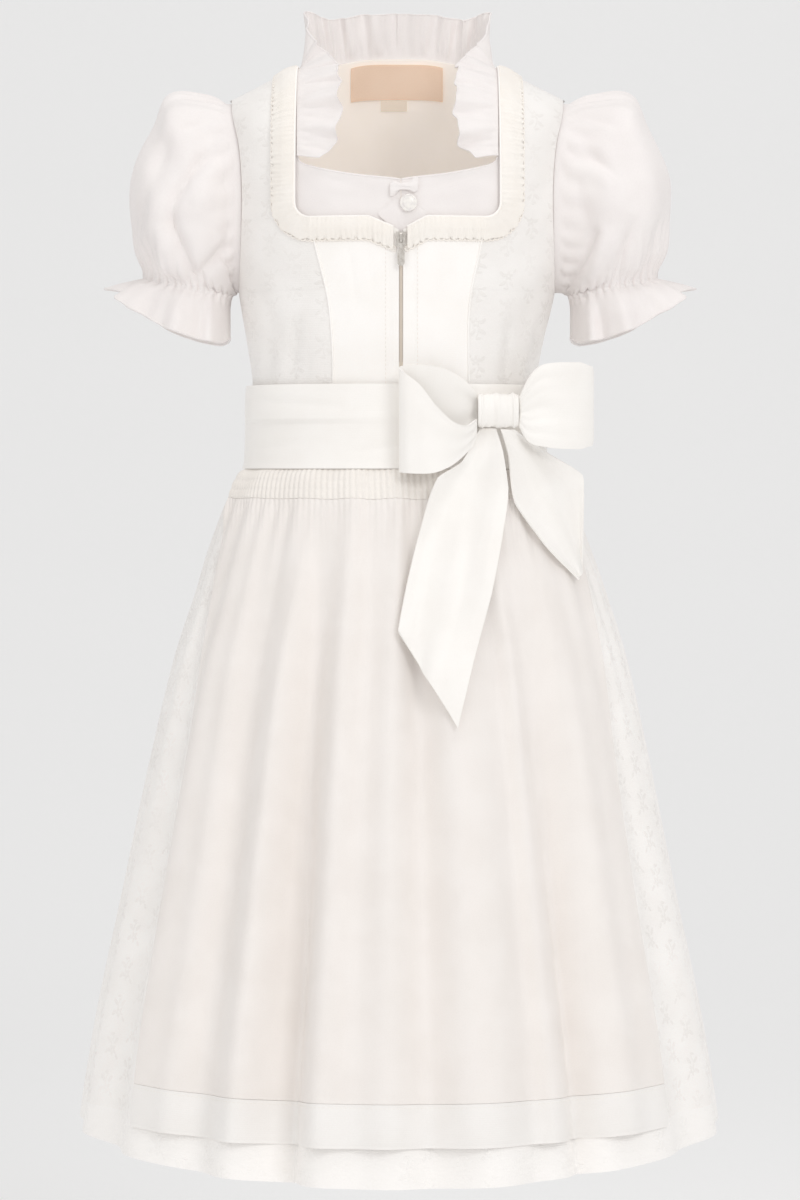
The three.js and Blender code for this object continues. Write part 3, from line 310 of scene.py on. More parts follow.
def angle_at_x(section, x):
    part = np.clip((x - section["shift"]) / section["half"], -0.9999, 0.9999)
    return np.arctan2(part, (1 - np.abs(part) ** section["round"]) ** (1 / section["round"]))


def height_at(rise):
    curved = chest_height + shoulder_arc * np.sin(np.maximum(rise, 0) / shoulder_arc)
    return np.where(np.asarray(rise) > 0, curved, chest_height + rise)


def rise_at(height):
    above = np.asarray(height) - chest_height
    curved = shoulder_arc * np.arcsin(np.clip(above / shoulder_arc, 0, 1))
    return np.where(above <= 0, above, curved)


def body_section(rise):
    section = section_at(body_table, height_at(rise))
    climb = np.maximum(rise, 0) / shoulder_arc
    closing = np.cos(climb)
    roundness = lerp(2.3, 7.5, np.minimum(1, climb / (math.pi / 2)) ** 2)
    return {**section, "front": section["front"] * closing, "back": section["back"] * closing,
            "round": roundness}


def body_form(angle, rise):
    """The bodice's outer form: a tube up to the chest, which closes over the shoulders above it."""
    height = height_at(rise)
    section = body_section(rise)
    x, y = ring_point(section, angle)
    aside = np.abs(x - section["shift"])
    slope = ease((height - slope_start) / (shoulder_height - slope_start))
    drop = shoulder_drop * np.maximum(0, aside - neck_half) / (shoulder_half - neck_half) * slope
    turned = np.sin(np.maximum(rise, 0) / shoulder_arc) / math.sin(nape_degrees * degree)
    behind = np.where(np.cos(angle) < 0, np.maximum(0, 1 - (aside / nape_half) ** 4), 0)
    return np.stack(np.broadcast_arrays(x, y, height - drop + nape_lift * behind * turned * turned), -1)


def lifted(form, angle, rise, lift):
    """Points of a form, moved straight out from it."""
    across = form(angle + 0.002, rise) - form(angle - 0.002, rise)
    up = form(angle, rise + 0.2) - form(angle, rise - 0.2)
    out = np.cross(across, up)
    out /= np.maximum(np.linalg.norm(out, axis=-1, keepdims=True), 1e-9)
    return form(angle, rise) + out * np.asarray(lift)[..., None]


def two_sides(form, angle, rise, lift, wall):
    """A wall on a form: its outer side at a lift, and its inner side a wall's thickness below."""
    return lifted(form, angle, rise, lift), lifted(form, angle, rise, lift - wall)


def back_of(grid, wall, ring):
    """The other side of a wall whose first side is a grid of points."""
    left = np.roll(grid, 1, 1)
    right = np.roll(grid, -1, 1)
    if not ring:
        left[:, 0] = grid[:, 0]
        right[:, -1] = grid[:, -1]
    below = np.concatenate([grid[:1], grid[:-1]])
    above = np.concatenate([grid[1:], grid[-1:]])
    out = np.cross(right - left, above - below)
    out /= np.maximum(np.linalg.norm(out, axis=-1, keepdims=True), 1e-9)
    return grid - out * wall


def finer(values, pieces):
    """Each step of a list of values, cut into a number of smaller steps."""
    places = np.arange(len(values))
    return np.interp(np.linspace(0, len(values) - 1, (len(values) - 1) * pieces + 1), places, values)


def seam_x(height, side):
    return side * column(princess_table, "half", height) + column(princess_table, "lean", height)


def armhole_angle(rise, shrink):
    middle = (armhole_top + armhole_bottom) / 2
    half = (armhole_top - armhole_bottom) / 2 - shrink
    away = np.minimum(np.abs(height_at(rise) - middle) / half, 1)
    section = body_section(rise)
    side = math.pi / 2 - seam_gap / 2 / np.maximum(section["front"], 20)
    depth = (armhole_depth - shrink) * (1 - away ** armhole_round) ** (1 / armhole_round)
    return np.where(away > 0.9985, side, np.minimum(side, angle_from_depth(section, depth)))


def strap_edge(rise, side, bottom_rise):
    """The inner edge of a strap panel: the princess seam, then the neckline's corner and side."""
    height = height_at(rise)
    above = rise - bottom_rise
    into = np.clip(above, 0, neck_corner) - neck_corner
    reach = neck_half - neck_corner + np.sqrt(neck_corner ** 2 - into ** 2)
    corner = side * reach + column(princess_table, "lean", height)
    return np.where(above < 0, seam_x(height, side) + side * seam_gap / 2, corner)


def strap_panel(rises, columns, side, behind, edge, shrink):
    """Angles and rises of a side panel with its shoulder strap, in front or at the back."""
    rise = rises[:, None]
    inner = angle_at_x(body_section(rise), edge(rise))
    outer = side * armhole_angle(rise, shrink)
    if behind:
        inner = math.pi - inner
        outer = math.pi - outer
    part = np.linspace(0, 1, columns + 1)[None, :]
    return lerp(np.minimum(inner, outer), np.maximum(inner, outer), part), rise + 0 * part


def keep_side(points, side):
    """Keeps a front or back piece on its own side of the shoulder and side seams."""
    points[..., 1] = side * np.maximum(side * points[..., 1], seam_gap / 2)
    return points


def wavy(points, size, depth):
    """Slow unevenness of cloth, in millimetres, that never repeats over one piece."""
    x, y, z = (points[..., axis] / size for axis in range(3))
    first = np.sin(1.7 * x + 0.6 * z + 1.3) * np.sin(1.1 * z - 0.8 * y + 0.4)
    second = np.sin(2.9 * x - 1.3 * y + 2.1) * np.sin(0.7 * z + 1.9 * y - 0.6)
    return depth * (0.6 * first + 0.4 * second)


def creases(points, rows, hand=-1):
    """How far soft troughs and ridges stand out. Each row gives a straight line, seen from the
    front or the back, from one place to another, across and up, then its width and its depth."""
    depth = np.zeros(points.shape[:-1])
    x = points[..., 0]
    z = points[..., 2]
    for start_x, start_z, end_x, end_z, width, deep in rows:
        run_x = end_x - start_x
        run_z = end_z - start_z
        along = np.clip(((x - start_x) * run_x + (z - start_z) * run_z) / (run_x ** 2 + run_z ** 2), 0, 1)
        away = np.hypot(x - start_x - along * run_x, z - start_z - along * run_z)
        taper = np.sqrt(np.sin(math.pi * np.clip(0.08 + 0.84 * along, 0, 1)))
        depth += deep * taper * np.exp(-((away / width) ** 2))
    return depth * ease(0.5 + hand * points[..., 1] / crease_blend)


def lay_flat(grid, ring, anchor=0, begin=None):
    """Gives each point its place on the flat cloth in metres, for the weave and the woven pattern."""
    around = np.concatenate([grid, grid[:, :1]], 1) if ring else grid
    steps = np.linalg.norm(np.diff(around, axis=1), axis=-1)
    run = np.concatenate([np.zeros((len(grid), 1)), np.cumsum(steps, 1)], 1)
    if begin is None:
        longest = np.argmax(run[:, -1])
        u = np.repeat(run[longest:longest + 1], len(grid), 0)
    else:
        u = begin[:, None] + run - run[:, anchor:anchor + 1]
    rows = np.linalg.norm(np.diff(grid, axis=0), axis=-1).mean(1)
    v = np.concatenate([[0], np.cumsum(rows)])
    return np.stack(np.broadcast_arrays(u, v[:, None]), -1) * millimetre


def mapped_object(name, points, faces, flat, finish):
    """An object from points and faces, with each corner's place on the flat cloth."""
    mesh = bpy.data.meshes.new(name)
    mesh.from_pydata((np.asarray(points) * millimetre).tolist(), [], faces)
    layer = mesh.uv_layers.new(name="cloth")
    layer.data.foreach_set("uv", np.asarray(flat, np.float32).ravel())
    mesh.shade_smooth()
    mesh.set_sharp_from_angle(angle=sharp_edge)
    mesh.materials.append(finish)
    return add_object(name, mesh)


def cloth_piece(name, outer, inner, ring, finish, flat=None):
    """A wall of cloth between two grids of points, with a map of the flat cloth on it."""
    rows, columns = outer.shape[:2]
    if flat is None:
        flat = lay_flat(outer, ring)
    points = np.concatenate([outer.reshape(-1, 3), inner.reshape(-1, 3)])
    index = np.arange(rows * columns).reshape(rows, columns)
    flat_index = np.arange(flat.shape[0] * flat.shape[1]).reshape(flat.shape[:2])
    if ring:
        index = np.concatenate([index, index[:, :1]], 1)
    far = index + rows * columns

    def quads(a, b, c, d):
        return np.stack([a.ravel(), b.ravel(), c.ravel(), d.ravel()], -1)

    def corners(grid):
        return grid[:-1, :-1], grid[:-1, 1:], grid[1:, 1:], grid[1:, :-1]

    faces = [quads(*corners(index)), quads(*corners(far))[:, ::-1]]
    places = [quads(*corners(flat_index)), quads(*corners(flat_index))[:, ::-1]]
    edges = [(0, slice(None), False), (rows - 1, slice(None), True)]
    if not ring:
        edges += [(slice(None), 0, True), (slice(None), columns - 1, False)]
    for row, place, turned in edges:
        near_line = index[row, place]
        far_line = far[row, place]
        flat_line = flat_index[row, place]
        rim = quads(near_line[1:], near_line[:-1], far_line[:-1], far_line[1:])
        rim_flat = quads(flat_line[1:], flat_line[:-1], flat_line[:-1], flat_line[1:])
        faces.append(rim[:, ::-1] if turned else rim)
        places.append(rim_flat[:, ::-1] if turned else rim_flat)
    faces = np.concatenate(faces)
    places = np.concatenate(places)
    a, b, c, d = (points[faces[:, corner]] for corner in range(4))
    volume = (np.cross(a, b) * c).sum() + (np.cross(a, c) * d).sum()
    if volume < 0:
        faces = faces[:, ::-1]
        places = places[:, ::-1]
    return mapped_object(name, points, faces.tolist(), flat.reshape(-1, 2)[places.ravel()], finish)


def wear(piece, slot, *nodes):
    """Fixes a piece to the dress and hides the nodes that it stands for. Its slot is not used."""
    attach(piece, "dress")
    if nodes:
        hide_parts(*nodes)
    return piece


def wear_cloth(node, outer, inner, ring, finish, slot, flat=None):
    """The visible cloth of one solid, set in its place."""
    return wear(cloth_piece(node + "_cloth", outer, inner, ring, finish, flat), slot, node)


cloud_scale = 34.0
slub_scale = 900.0
sheen_patch_scale = 22.0


def cloth_finish(name, light, shade, roughness, thread, raised, sheen, twill=False, sprigs=0.0, alpha=1.0,
                 through=0.045, hem=None):
    """Woven cloth: its threads as a fine bump, slow changes of tone, raised sprigs if it has them, and
    a painted glow in the cloth's light tone (through), which stands in for light coming through thin cloth."""
    finish, surface, start = new_finish(name)
    flat = start.node("ShaderNodeUVMap", {"uv_map": "cloth"})
    spread = start.node("ShaderNodeSeparateXYZ", {}, {"Vector": flat})
    u = spread.out("X")
    v = spread.out("Y")
    turns = 2 * math.pi / thread
    if twill:
        weave = ((u + v * 0.35) * turns).sine() * 0.7 + (v * (turns * 0.5)).sine() * 0.3
    else:
        weave = (u * turns).sine() * (v * turns).sine()
    place = start.place()
    cloud = start.noise(place, cloud_scale, 2.0)
    slub = start.noise(flat, slub_scale, 1.0)
    tone = cloud.step(0.3, 0.7) * 0.5 + slub.step(0.35, 0.75) * 0.25
    rough = roughness + cloud * 0.06
    height = weave * 0.5 + slub * 0.3
    if sprigs:
        motif = sprig_mask(start, u, v)
        # The sprigs fade in and out in soft patches: painted sheen, for the way light catches the woven
        # motif here and there.
        sheen_patches = start.noise(place, sheen_patch_scale, 1.0)
        motif = motif * (sheen_patches.step(0.35, 0.65) * 0.7 + 0.3)
        tone = tone * 0.8 + motif * 0.55
        rough = rough - motif * 0.2
        height = height + motif * sprigs
    # Below the hem line the tone's random changes are mostly taken out, so the cloth there is lighter and
    # more even.
    if hem:
        up = start.node("ShaderNodeSeparateXYZ", {}, {"Vector": place}).out("Z")
        doubled = 1 - up.step(hem, hem + millimetre)
        tone = tone * (1 - doubled * 0.8)
    colour = tone.mix(light, shade)
    bump = start.node("ShaderNodeBump", {}, {"Strength": 1.0, "Distance": raised, "Height": height})
    # Emission paints a glow in the cloth's light tone on every piece: painted light that lightens its shaded
    # creases and gaps.
    fill(surface, {
        "Base Color": colour, "Roughness": rough, "Normal": bump, "Alpha": alpha,
        "Sheen Weight": sheen, "Sheen Roughness": 0.4, "Specular IOR Level": 0.35,
        "Emission Color": light, "Emission Strength": through,
    })
    return finish


sprig_wide = 0.0215
sprig_high = 0.0265
sprig_scale = 1.2


def sprig_mask(start, u, v):
    """Small five-petalled flowers on bent stems, with leaves and dots between, in a half-drop repeat."""
    across = u * (1 / sprig_wide)
    lane = start.math("FLOOR", across)
    other = start.math("FLOORED_MODULO", lane, 2.0)
    x = (across.part() - 0.5) * (sprig_wide / millimetre / sprig_scale) * (1 - other * 2)
    z = ((v * (1 / sprig_high) + other * 0.5).part() - 0.5) * (sprig_high / millimetre / sprig_scale)
    bloom_x = x + 1.4
    bloom_z = z - 2.6
    far = start.math("SQRT", bloom_x * bloom_x + bloom_z * bloom_z)
    turn = start.math("ARCTAN2", bloom_z, bloom_x)
    mask = (1 - (far - (turn * 5.0).sine() * 0.8).step(1.9, 3.1)) - (1 - far.step(0.4, 1.0)) * 0.8
    for leaf_x, leaf_z, lean, long, wide in (
        (2.9, 3.6, 0.7, 2.5, 1.1),
        (2.6, -2.6, -0.5, 2.9, 1.2),
        (-3.4, -3.2, 0.9, 2.6, 1.1),
        (0.3, -6.6, 0.2, 2.0, 0.9),
        (-5.6, 5.8, -0.9, 1.8, 0.8),
    ):
        off_x = x - leaf_x
        off_z = z - leaf_z
        along = off_x * (math.cos(lean) / long) + off_z * (math.sin(lean) / long)
        beside = off_z * (math.cos(lean) / wide) - off_x * (math.sin(lean) / wide)
        mask = mask.larger(1 - (along * along + beside * beside).step(0.5, 1.3))
    bow = start.math("SQRT", (x + 8.0) * (x + 8.0) + (z + 1.0) * (z + 1.0)) - 8.2
    length = start.math("ABSOLUTE", z + 3.0)
    stem = (1 - start.math("ABSOLUTE", bow).step(0.2, 0.6)) * (1 - length.step(2.4, 3.6))
    return mask.larger(stem * 0.8)


satin = cloth_finish("satin", linear(253, 250, 247), linear(248, 244, 239), 0.36, 0.0007, 0.00005, 0.1, True)
# The bodice's jacquard is painted a few shades darker than the skirt's copy: painted shade on the bodice's
# sides.
jacquard = cloth_finish(
    "jacquard", linear(248, 245, 242), linear(238, 234, 230), 0.46, 0.0008, 0.00012, 0.15, True, sprigs=1.4,
)

# Columns of a crease: begins across, begins up, ends across, ends up, width, depth.
body_creases = [
    (-99, -213, -98, -196, 1.8, 1.0),
    (-92, -212, -90, -184, 2.2, -1.9),
    (-84, -214, -82, -198, 1.8, 1.0),
    (-76, -213, -72, -170, 3.0, -2.9),
    (-66, -213, -65, -188, 2.2, -2.1),
    (-58, -213, -57, -192, 2.0, 0.9),
    (58, -213, 60, -180, 2.4, -2.1),
    (72, -213, 76, -170, 2.8, -2.6),
    (83, -213, 88, -190, 2.2, 1.2),
    (92, -212, 97, -168, 2.8, -2.2),
    (-103, -140, -80, -196, 6.0, -1.4),
    (-96, -130, -68, -150, 7.0, -1.0),
    (102, -138, 78, -186, 6.0, -1.2),
    (98, -118, 74, -128, 7.0, -0.9),
    (-86, -20, -97, -96, 7.0, -0.9),
    (88, -24, 99, -88, 7.0, -0.8),
]
back_creases = [
    (-78, -213, -72, -182, 2.6, -1.4),
    (-60, -213, -58, -194, 2.2, 0.9),
    (-30, -213, -34, -170, 3.0, -1.2),
    (12, -213, 10, -184, 2.6, -1.1),
    (36, -213, 38, -176, 2.8, 0.9),
    (70, -213, 76, -184, 2.6, -1.4),
    (-92, -130, -60, -160, 7.0, -1.2),
    (94, -126, 58, -158, 7.0, -1.2),
    (-40, -60, 30, -66, 9.0, -1.0),
    (-30, -110, 52, -120, 9.0, -0.9),
]


def body_wall(angle, rise, hand):
    """A bodice panel's two sides, with its creases, kept clear of the trim and the side seams."""
    flat_points = body_form(angle, rise)
    rows = body_creases if hand < 0 else back_creases
    swell = creases(flat_points, rows, hand) + wavy(flat_points, 24, 0.35)
    columns = np.arange(angle.shape[1])
    edge = np.minimum(1, np.minimum(columns, columns[::-1]) / 5)
    swell = swell * edge[None, :] * ease((rise + 150) / 12 + 0.2)
    swell = np.minimum(swell, 0.8)
    return two_sides(body_form, angle, rise, swell, cloth_wall)


low_rises = [waist_rise, -120, -95, -75, -62, -60]
arm_rises = [-59.97, -59.85, -59.6, -59, -58, -56, -52, -45, -36, -24]
front_neck_rise = neck_bottom - chest_height
back_neck_rise = 47
corner_rises = [0.02, 0.15, 0.5, 1.2, 2.2, 3.6, 5.4, 7.6, 11]
top_rises = [90, 118, 140, 150, 156, ridge_rise - 0.2]
front_rises = finer(
    low_rises + arm_rises + [front_neck_rise] + [front_neck_rise + up for up in corner_rises]
    + [12, 30, 60] + top_rises, 3,
)
back_rises = finer(
    low_rises + arm_rises + [-5, 22, back_neck_rise] + [back_neck_rise + up for up in corner_rises]
    + [75] + top_rises, 3,
)
for word, side in both_sides:
    for place, hand, rises, bottom in (
        ("front", -1, front_rises, front_neck_rise),
        ("back", 1, back_rises, back_neck_rise),
    ):
        angle, rise = strap_panel(
            rises, 28, side, hand > 0, lambda up: strap_edge(up, side, bottom), 0,
        )
        outer, inner = body_wall(angle, rise, hand)
        outer = keep_side(outer, hand)
        inner = keep_side(inner, hand)
        anchor = 0 if side * -hand > 0 else outer.shape[1] - 1
        begin = -hand * outer[:, anchor, 0]
        name = f"bodice_{place}_side_{word}"
        flat = lay_flat(outer, False, anchor, begin)
        panel = wear_cloth(name, outer, inner, False, jacquard, "jacquard", flat)

zip_half = 1.1
centre_rises = finer([waist_rise, -120, -95, -75, -60, -49, -38, -24], 4)


def neck_rise_at(x):
    return front_neck_rise - neck_dip * np.maximum(0, 1 - np.abs(x) / neck_dip_half)


centre_creases = [
    (-8.5, -238, -7.5, -112, 1.6, -0.7),
    (9.0, -238, 9.5, -112, 1.6, -0.7),
    (-36, -122, -31, -158, 2.6, -0.7),
    (-22, -124, -20, -150, 2.4, -0.6),
    (27, -122, 25, -160, 2.6, -0.7),
    (40, -122, 36, -148, 2.4, -0.6),
    (-30, -214, -27, -190, 3.0, -0.8),
    (22, -214, 20, -196, 3.0, -0.7),
]
for word, side in both_sides:
    part = np.linspace(0, 1, 33)
    across = part if side > 0 else 1 - part
    first = side * (zip_half + seam_gap)
    top = neck_rise_at(lerp(first, seam_x(neck_bottom, side), across))
    rise = np.concatenate([centre_rises[:, None] + 0 * part, [lerp(centre_rises[-1], top, 0.5), top]])
    last = seam_x(height_at(rise), side) - side * seam_gap / 2
    angle = angle_at_x(body_section(rise), lerp(first, last, across))
    swell = np.minimum(creases(body_form(angle, rise), centre_creases), 0.5) * np.minimum(1, part * 12)
    swell = swell * np.minimum(1, (1 - part) * 12)
    outer, inner = two_sides(body_form, angle, rise, swell, cloth_wall)
    flat = lay_flat(outer, False, 0, outer[:, 0, 0])
    panel = wear_cloth(f"bodice_front_centre_{word}", outer, inner, False, satin, "satin", flat)


def back_neck_at(x):
    return back_neck_rise - 12 * np.maximum(0, 1 - (x / 60) ** 2)


part = np.linspace(0, 1, 61)
top = back_neck_at(lerp(seam_x(neck_bottom, 1), seam_x(neck_bottom, -1), part))
low = finer([waist_rise, -120, -95, -75, -60, -38, -5, 22], 4)
rise = np.concatenate([low[:, None] + 0 * part, [lerp(low[-1], top, 0.5), top]])
height = height_at(rise)
x = lerp(seam_x(height, 1) - seam_gap / 2, seam_x(height, -1) + seam_gap / 2, part)
angle = math.pi - angle_at_x(body_section(rise), x)
outer, inner = body_wall(angle, rise, 1)
flat = lay_flat(outer, False, len(part) // 2, np.zeros(len(rise)))
panel = wear_cloth("bodice_back_centre", outer, inner, False, jacquard, "jacquard", flat)


def tube_piece(name, paths, radius, finish, sides=8, ring=False):
    """Round cords along lists of points, joined in one mesh, with a map along and round them."""
    points = []
    faces = []
    flat = []
    for path in paths:
        path = np.asarray(path, float)
        count = len(path)
        ahead = np.roll(path, -1, 0) - np.roll(path, 1, 0)
        if not ring:
            ahead[0] = path[1] - path[0]
            ahead[-1] = path[-1] - path[-2]
        ahead /= np.linalg.norm(ahead, axis=1, keepdims=True)
        up = np.tile([0.0, 0.0, 1.0], (count, 1))
        up = np.where(np.abs(ahead[:, 2:]) > 0.9, [[0.0, 1.0, 0.0]], up)
        aside = np.cross(ahead, up)
        aside /= np.linalg.norm(aside, axis=1, keepdims=True)
        for place in range(1, count):
            aside[place] = aside[place - 1] - ahead[place] * (aside[place - 1] @ ahead[place])
            aside[place] /= np.linalg.norm(aside[place])
        up = np.cross(aside, ahead)
        turn = np.linspace(0, 2 * math.pi, sides, endpoint=False)
        wall = path[:, None] + radius * (
            np.cos(turn)[None, :, None] * aside[:, None] + np.sin(turn)[None, :, None] * up[:, None]
        )
        base = len(points)
        points.extend(wall.reshape(-1, 3).tolist())
        run = np.concatenate([[0], np.cumsum(np.linalg.norm(np.diff(path, axis=0), axis=1))])
        run = np.append(run, run[-1])
        for line in range(count if ring else count - 1):
            near = base + line * sides
            far = base + (line + 1) % count * sides
            for step in range(sides):
                after = (step + 1) % sides
                faces.append([near + step, near + after, far + after, far + step])
                corners = ((line, step), (line, step + 1), (line + 1, step + 1), (line + 1, step))
                flat.extend((run[place], beside * radius) for place, beside in corners)
        if not ring:
            faces.append(list(range(base, base + sides))[::-1])
            faces.append(list(range(len(points) - sides, len(points))))
            flat.extend([(0, 0)] * (2 * sides))
    return mapped_object(name, points, faces, np.array(flat) * millimetre, finish)


piping_lift = 0.3
piping_radius = 0.75
piping_paths = []
for behind, top, count in ((False, -22, 60), (True, 34, 80)):
    rise = np.linspace(waist_rise, top, count)
    for side in (-1, 1):
        angle = angle_at_x(body_section(rise), seam_x(height_at(rise), side))
        angle = math.pi - angle if behind else angle
        piping_paths.append(lifted(body_form, angle, rise, piping_lift))
wear(tube_piece("princess_seam_piping", piping_paths, piping_radius, satin), "satin")

# Neck trim
# A ruched cream braid with small picot loops along its outer edge, sewn round the square
# neckline. A fine piping of the bodice's satin runs along its inner edge.
# The braid has a slightly stronger painted glow, which lightens the shade in its ruching.
braid = cloth_finish(
    "braid", linear(252, 247, 241), linear(246, 239, 230), 0.7, 0.0006, 0.0001, 0.3, through=0.06,
)
trim_width = 14
trim_seat = 0.7
trim_start = 4.8
ruche_pitch = 3.3
scallop_pitch = 5.4
scallop_depth = 1.5
picot_pitch = 3.6


def neck_path(step):
    """The neckline from the zip once round, at even steps: across, up, and the way out from it."""
    rows = []
    for x in np.linspace(trim_start, neck_dip_half, 8):
        rows.append((x, neck_rise_at(x), 0, -1))
    for x in np.linspace(neck_dip_half + 2, neck_half - neck_corner - 1, 14):
        rows.append((x, front_neck_rise, 0, -1))
    for turn in np.linspace(0, 90, 13) * degree:
        x = neck_half - neck_corner + neck_corner * math.sin(turn)
        up = front_neck_rise + neck_corner - neck_corner * math.cos(turn)
        rows.append((x, up, math.sin(turn), -math.cos(turn)))
    behind_start = 2 * ridge_rise - back_neck_rise - neck_corner
    for up in np.linspace(front_neck_rise + neck_corner + 2, behind_start - 1, 110):
        rows.append((neck_half, up, 1, 0))
    for turn in np.linspace(0, 90, 13) * degree:
        x = neck_half - neck_corner + neck_corner * math.cos(turn)
        up = behind_start + neck_corner * math.sin(turn)
        rows.append((x, up, math.cos(turn), math.sin(turn)))
    for x in np.linspace(neck_half - neck_corner - 1, 0, 26):
        rows.append((x, 2 * ridge_rise - back_neck_at(x), 0, 1))
    half = np.array(rows, float)
    other = half[:-1][::-1] * np.array([-1, 1, -1, 1])
    whole = np.concatenate([half, other])
    run = np.concatenate([[0], np.cumsum(np.hypot(*np.diff(whole[:, :2], axis=0).T))])
    even = np.linspace(0, run[-1], int(run[-1] / step) + 1)
    path = np.stack([np.interp(even, run, whole[:, place]) for place in range(4)], -1)
    path[:, 2:] /= np.hypot(path[:, 2], path[:, 3])[:, None]
    return path, even


def trim_points(path, out, lift):
    """Points of the trim: how far out from the neckline's edge, and how high above the bodice."""
    x = path[:, 0]
    up = path[:, 1] + path[:, 3] * out
    behind = up > ridge_rise
    rise = np.where(behind, 2 * ridge_rise - up, up)
    lean = column(princess_table, "lean", height_at(rise)) * np.minimum(1, np.abs(x) / neck_dip_half)
    rise = np.minimum(rise, ridge_rise - 0.01)
    angle = angle_at_x(body_section(rise), x + path[:, 2] * out + lean)
    return lifted(body_form, np.where(behind, math.pi - angle, angle), rise, lift)


path, run = neck_path(0.7)
trim_outer = []
trim_inner = []
ruche = np.sin(2 * math.pi * run / ruche_pitch + 1.4 * np.sin(run / 7.3) + 0.8 * np.sin(run / 17.1))
scallop = scallop_depth * np.abs(np.sin(math.pi * run / scallop_pitch))
for part in np.linspace(0, 1, 11):
    sway = ruche * (0.12 + 0.1 * np.sin(run / 11 + 4 * part)) - 0.3 * math.exp(-((part - 0.72) / 0.06) ** 2)
    reach = trim_width * part + (scallop if part > 0.95 else 0) + 0.3 * ruche * (part > 0.7)
    dome = 1.2 + 1.2 * math.sin(math.pi * min(1, part * 1.02)) ** 0.8
    trim_outer.append(trim_points(path, reach, trim_seat + dome + sway))
    trim_inner.append(trim_points(path, reach, trim_seat))
trim_outer = np.array(trim_outer)
trim_inner = np.array(trim_inner)
trim = wear(cloth_piece("neck_trim_braid", trim_outer, trim_inner, False, braid), "braid", "neck_trim")

edge_line = trim_points(neck_path(1.6)[0], -0.3, 0.55)
wear(tube_piece("neckline_piping", [edge_line], 0.8, satin), "satin")


def repeat_along(name, paths, outs, pitch, finish, element):
    """Sets one small element at even steps along paths, by Geometry Nodes, and returns a plain mesh."""
    points = []
    edges = []
    facing = []
    for path, out in zip(paths, outs):
        base = len(points)
        points.extend(np.asarray(path).tolist())
        facing.extend(np.asarray(out).tolist())
        edges.extend([[base + spot, base + spot + 1] for spot in range(len(path) - 1)])
    mesh = bpy.data.meshes.new(name + " path")
    mesh.from_pydata((np.array(points) * millimetre).tolist(), edges, [])
    facing_layer = mesh.attributes.new("out", "FLOAT_VECTOR", "POINT")
    facing_layer.data.foreach_set("vector", np.array(facing, np.float32).ravel())
    guide = add_object(name + " path", mesh)
    tree = bpy.data.node_groups.new(name, "GeometryNodeTree")
    tree.interface.new_socket("Geometry", in_out="INPUT", socket_type="NodeSocketGeometry")
    tree.interface.new_socket("Pitch", in_out="INPUT", socket_type="NodeSocketFloat")
    tree.interface.new_socket("Geometry", in_out="OUTPUT", socket_type="NodeSocketGeometry")
    start = Wire(tree)
    given = start.node("NodeGroupInput")
    curve = start.node("GeometryNodeMeshToCurve", {}, {"Mesh": given.out("Geometry")})
    even = start.node(
        "GeometryNodeResampleCurve", {"mode": "LENGTH"}, {"Curve": curve, "Length": given.out("Pitch")},
    )
    tangent = start.node("GeometryNodeInputTangent")
    out = start.node("GeometryNodeInputNamedAttribute", {"data_type": "FLOAT_VECTOR"}, {"Name": "out"})
    turned = start.node("FunctionNodeAlignRotationToVector", {"axis": "X"}, {"Vector": tangent})
    turned = start.node(
        "FunctionNodeAlignRotationToVector", {"axis": "Z", "pivot_axis": "X"},
        {"Rotation": turned, "Vector": out},
    )
    placed = start.node(
        "GeometryNodeInstanceOnPoints", {},
        {"Points": even, "Instance": element(start), "Rotation": turned},
    )
    real = start.node("GeometryNodeRealizeInstances", {}, {"Geometry": placed})
    painted = start.node("GeometryNodeSetMaterial", {}, {"Geometry": real, "Material": finish})
    end = tree.nodes.new("NodeGroupOutput")
    tree.links.new(painted.socket, end.inputs["Geometry"])
    modifier = guide.modifiers.new(name, "NODES")
    modifier.node_group = tree
    for socket in tree.interface.items_tree:
        if socket.name == "Pitch":
            modifier[socket.identifier] = pitch * millimetre
    graph = bpy.context.evaluated_depsgraph_get()
    made = bpy.data.meshes.new_from_object(guide.evaluated_get(graph))
    made.name = name
    bpy.data.objects.remove(guide)
    return add_object(name, made)


def picot_loop(start):
    """A small loop of thread that lies on the bodice, half under the braid's edge."""
    circle = start.node("GeometryNodeCurvePrimitiveCircle", {}, {"Resolution": 10, "Radius": 0.0019})
    thread = start.node("GeometryNodeCurvePrimitiveCircle", {}, {"Resolution": 5, "Radius": 0.00045})
    return start.node("GeometryNodeCurveToMesh", {}, {"Curve": circle, "Profile Curve": thread})


def outward(line, base):
    away = line - base
    return away / np.maximum(np.linalg.norm(away, axis=-1, keepdims=True), 1e-9)


picot_path = neck_path(2.0)[0]
picot_line = trim_points(picot_path, trim_width + 0.6, 0.9)
picot_out = outward(picot_line, trim_points(picot_path, trim_width + 0.6, -1))
picots = repeat_along("neck_trim_picots", [picot_line], [picot_out], picot_pitch, braid, picot_loop)
wear(picots, "braid")

# Blouse
# Two plain fronts that meet at the centre and a back, in fine white batiste. They lie inside the
# bodice, and their top edge is rolled and runs across the square neckline.
batiste = cloth_finish("batiste", linear(243, 238, 236), linear(235, 229, 227), 0.8, 0.0005, 0.00004, 0.25)
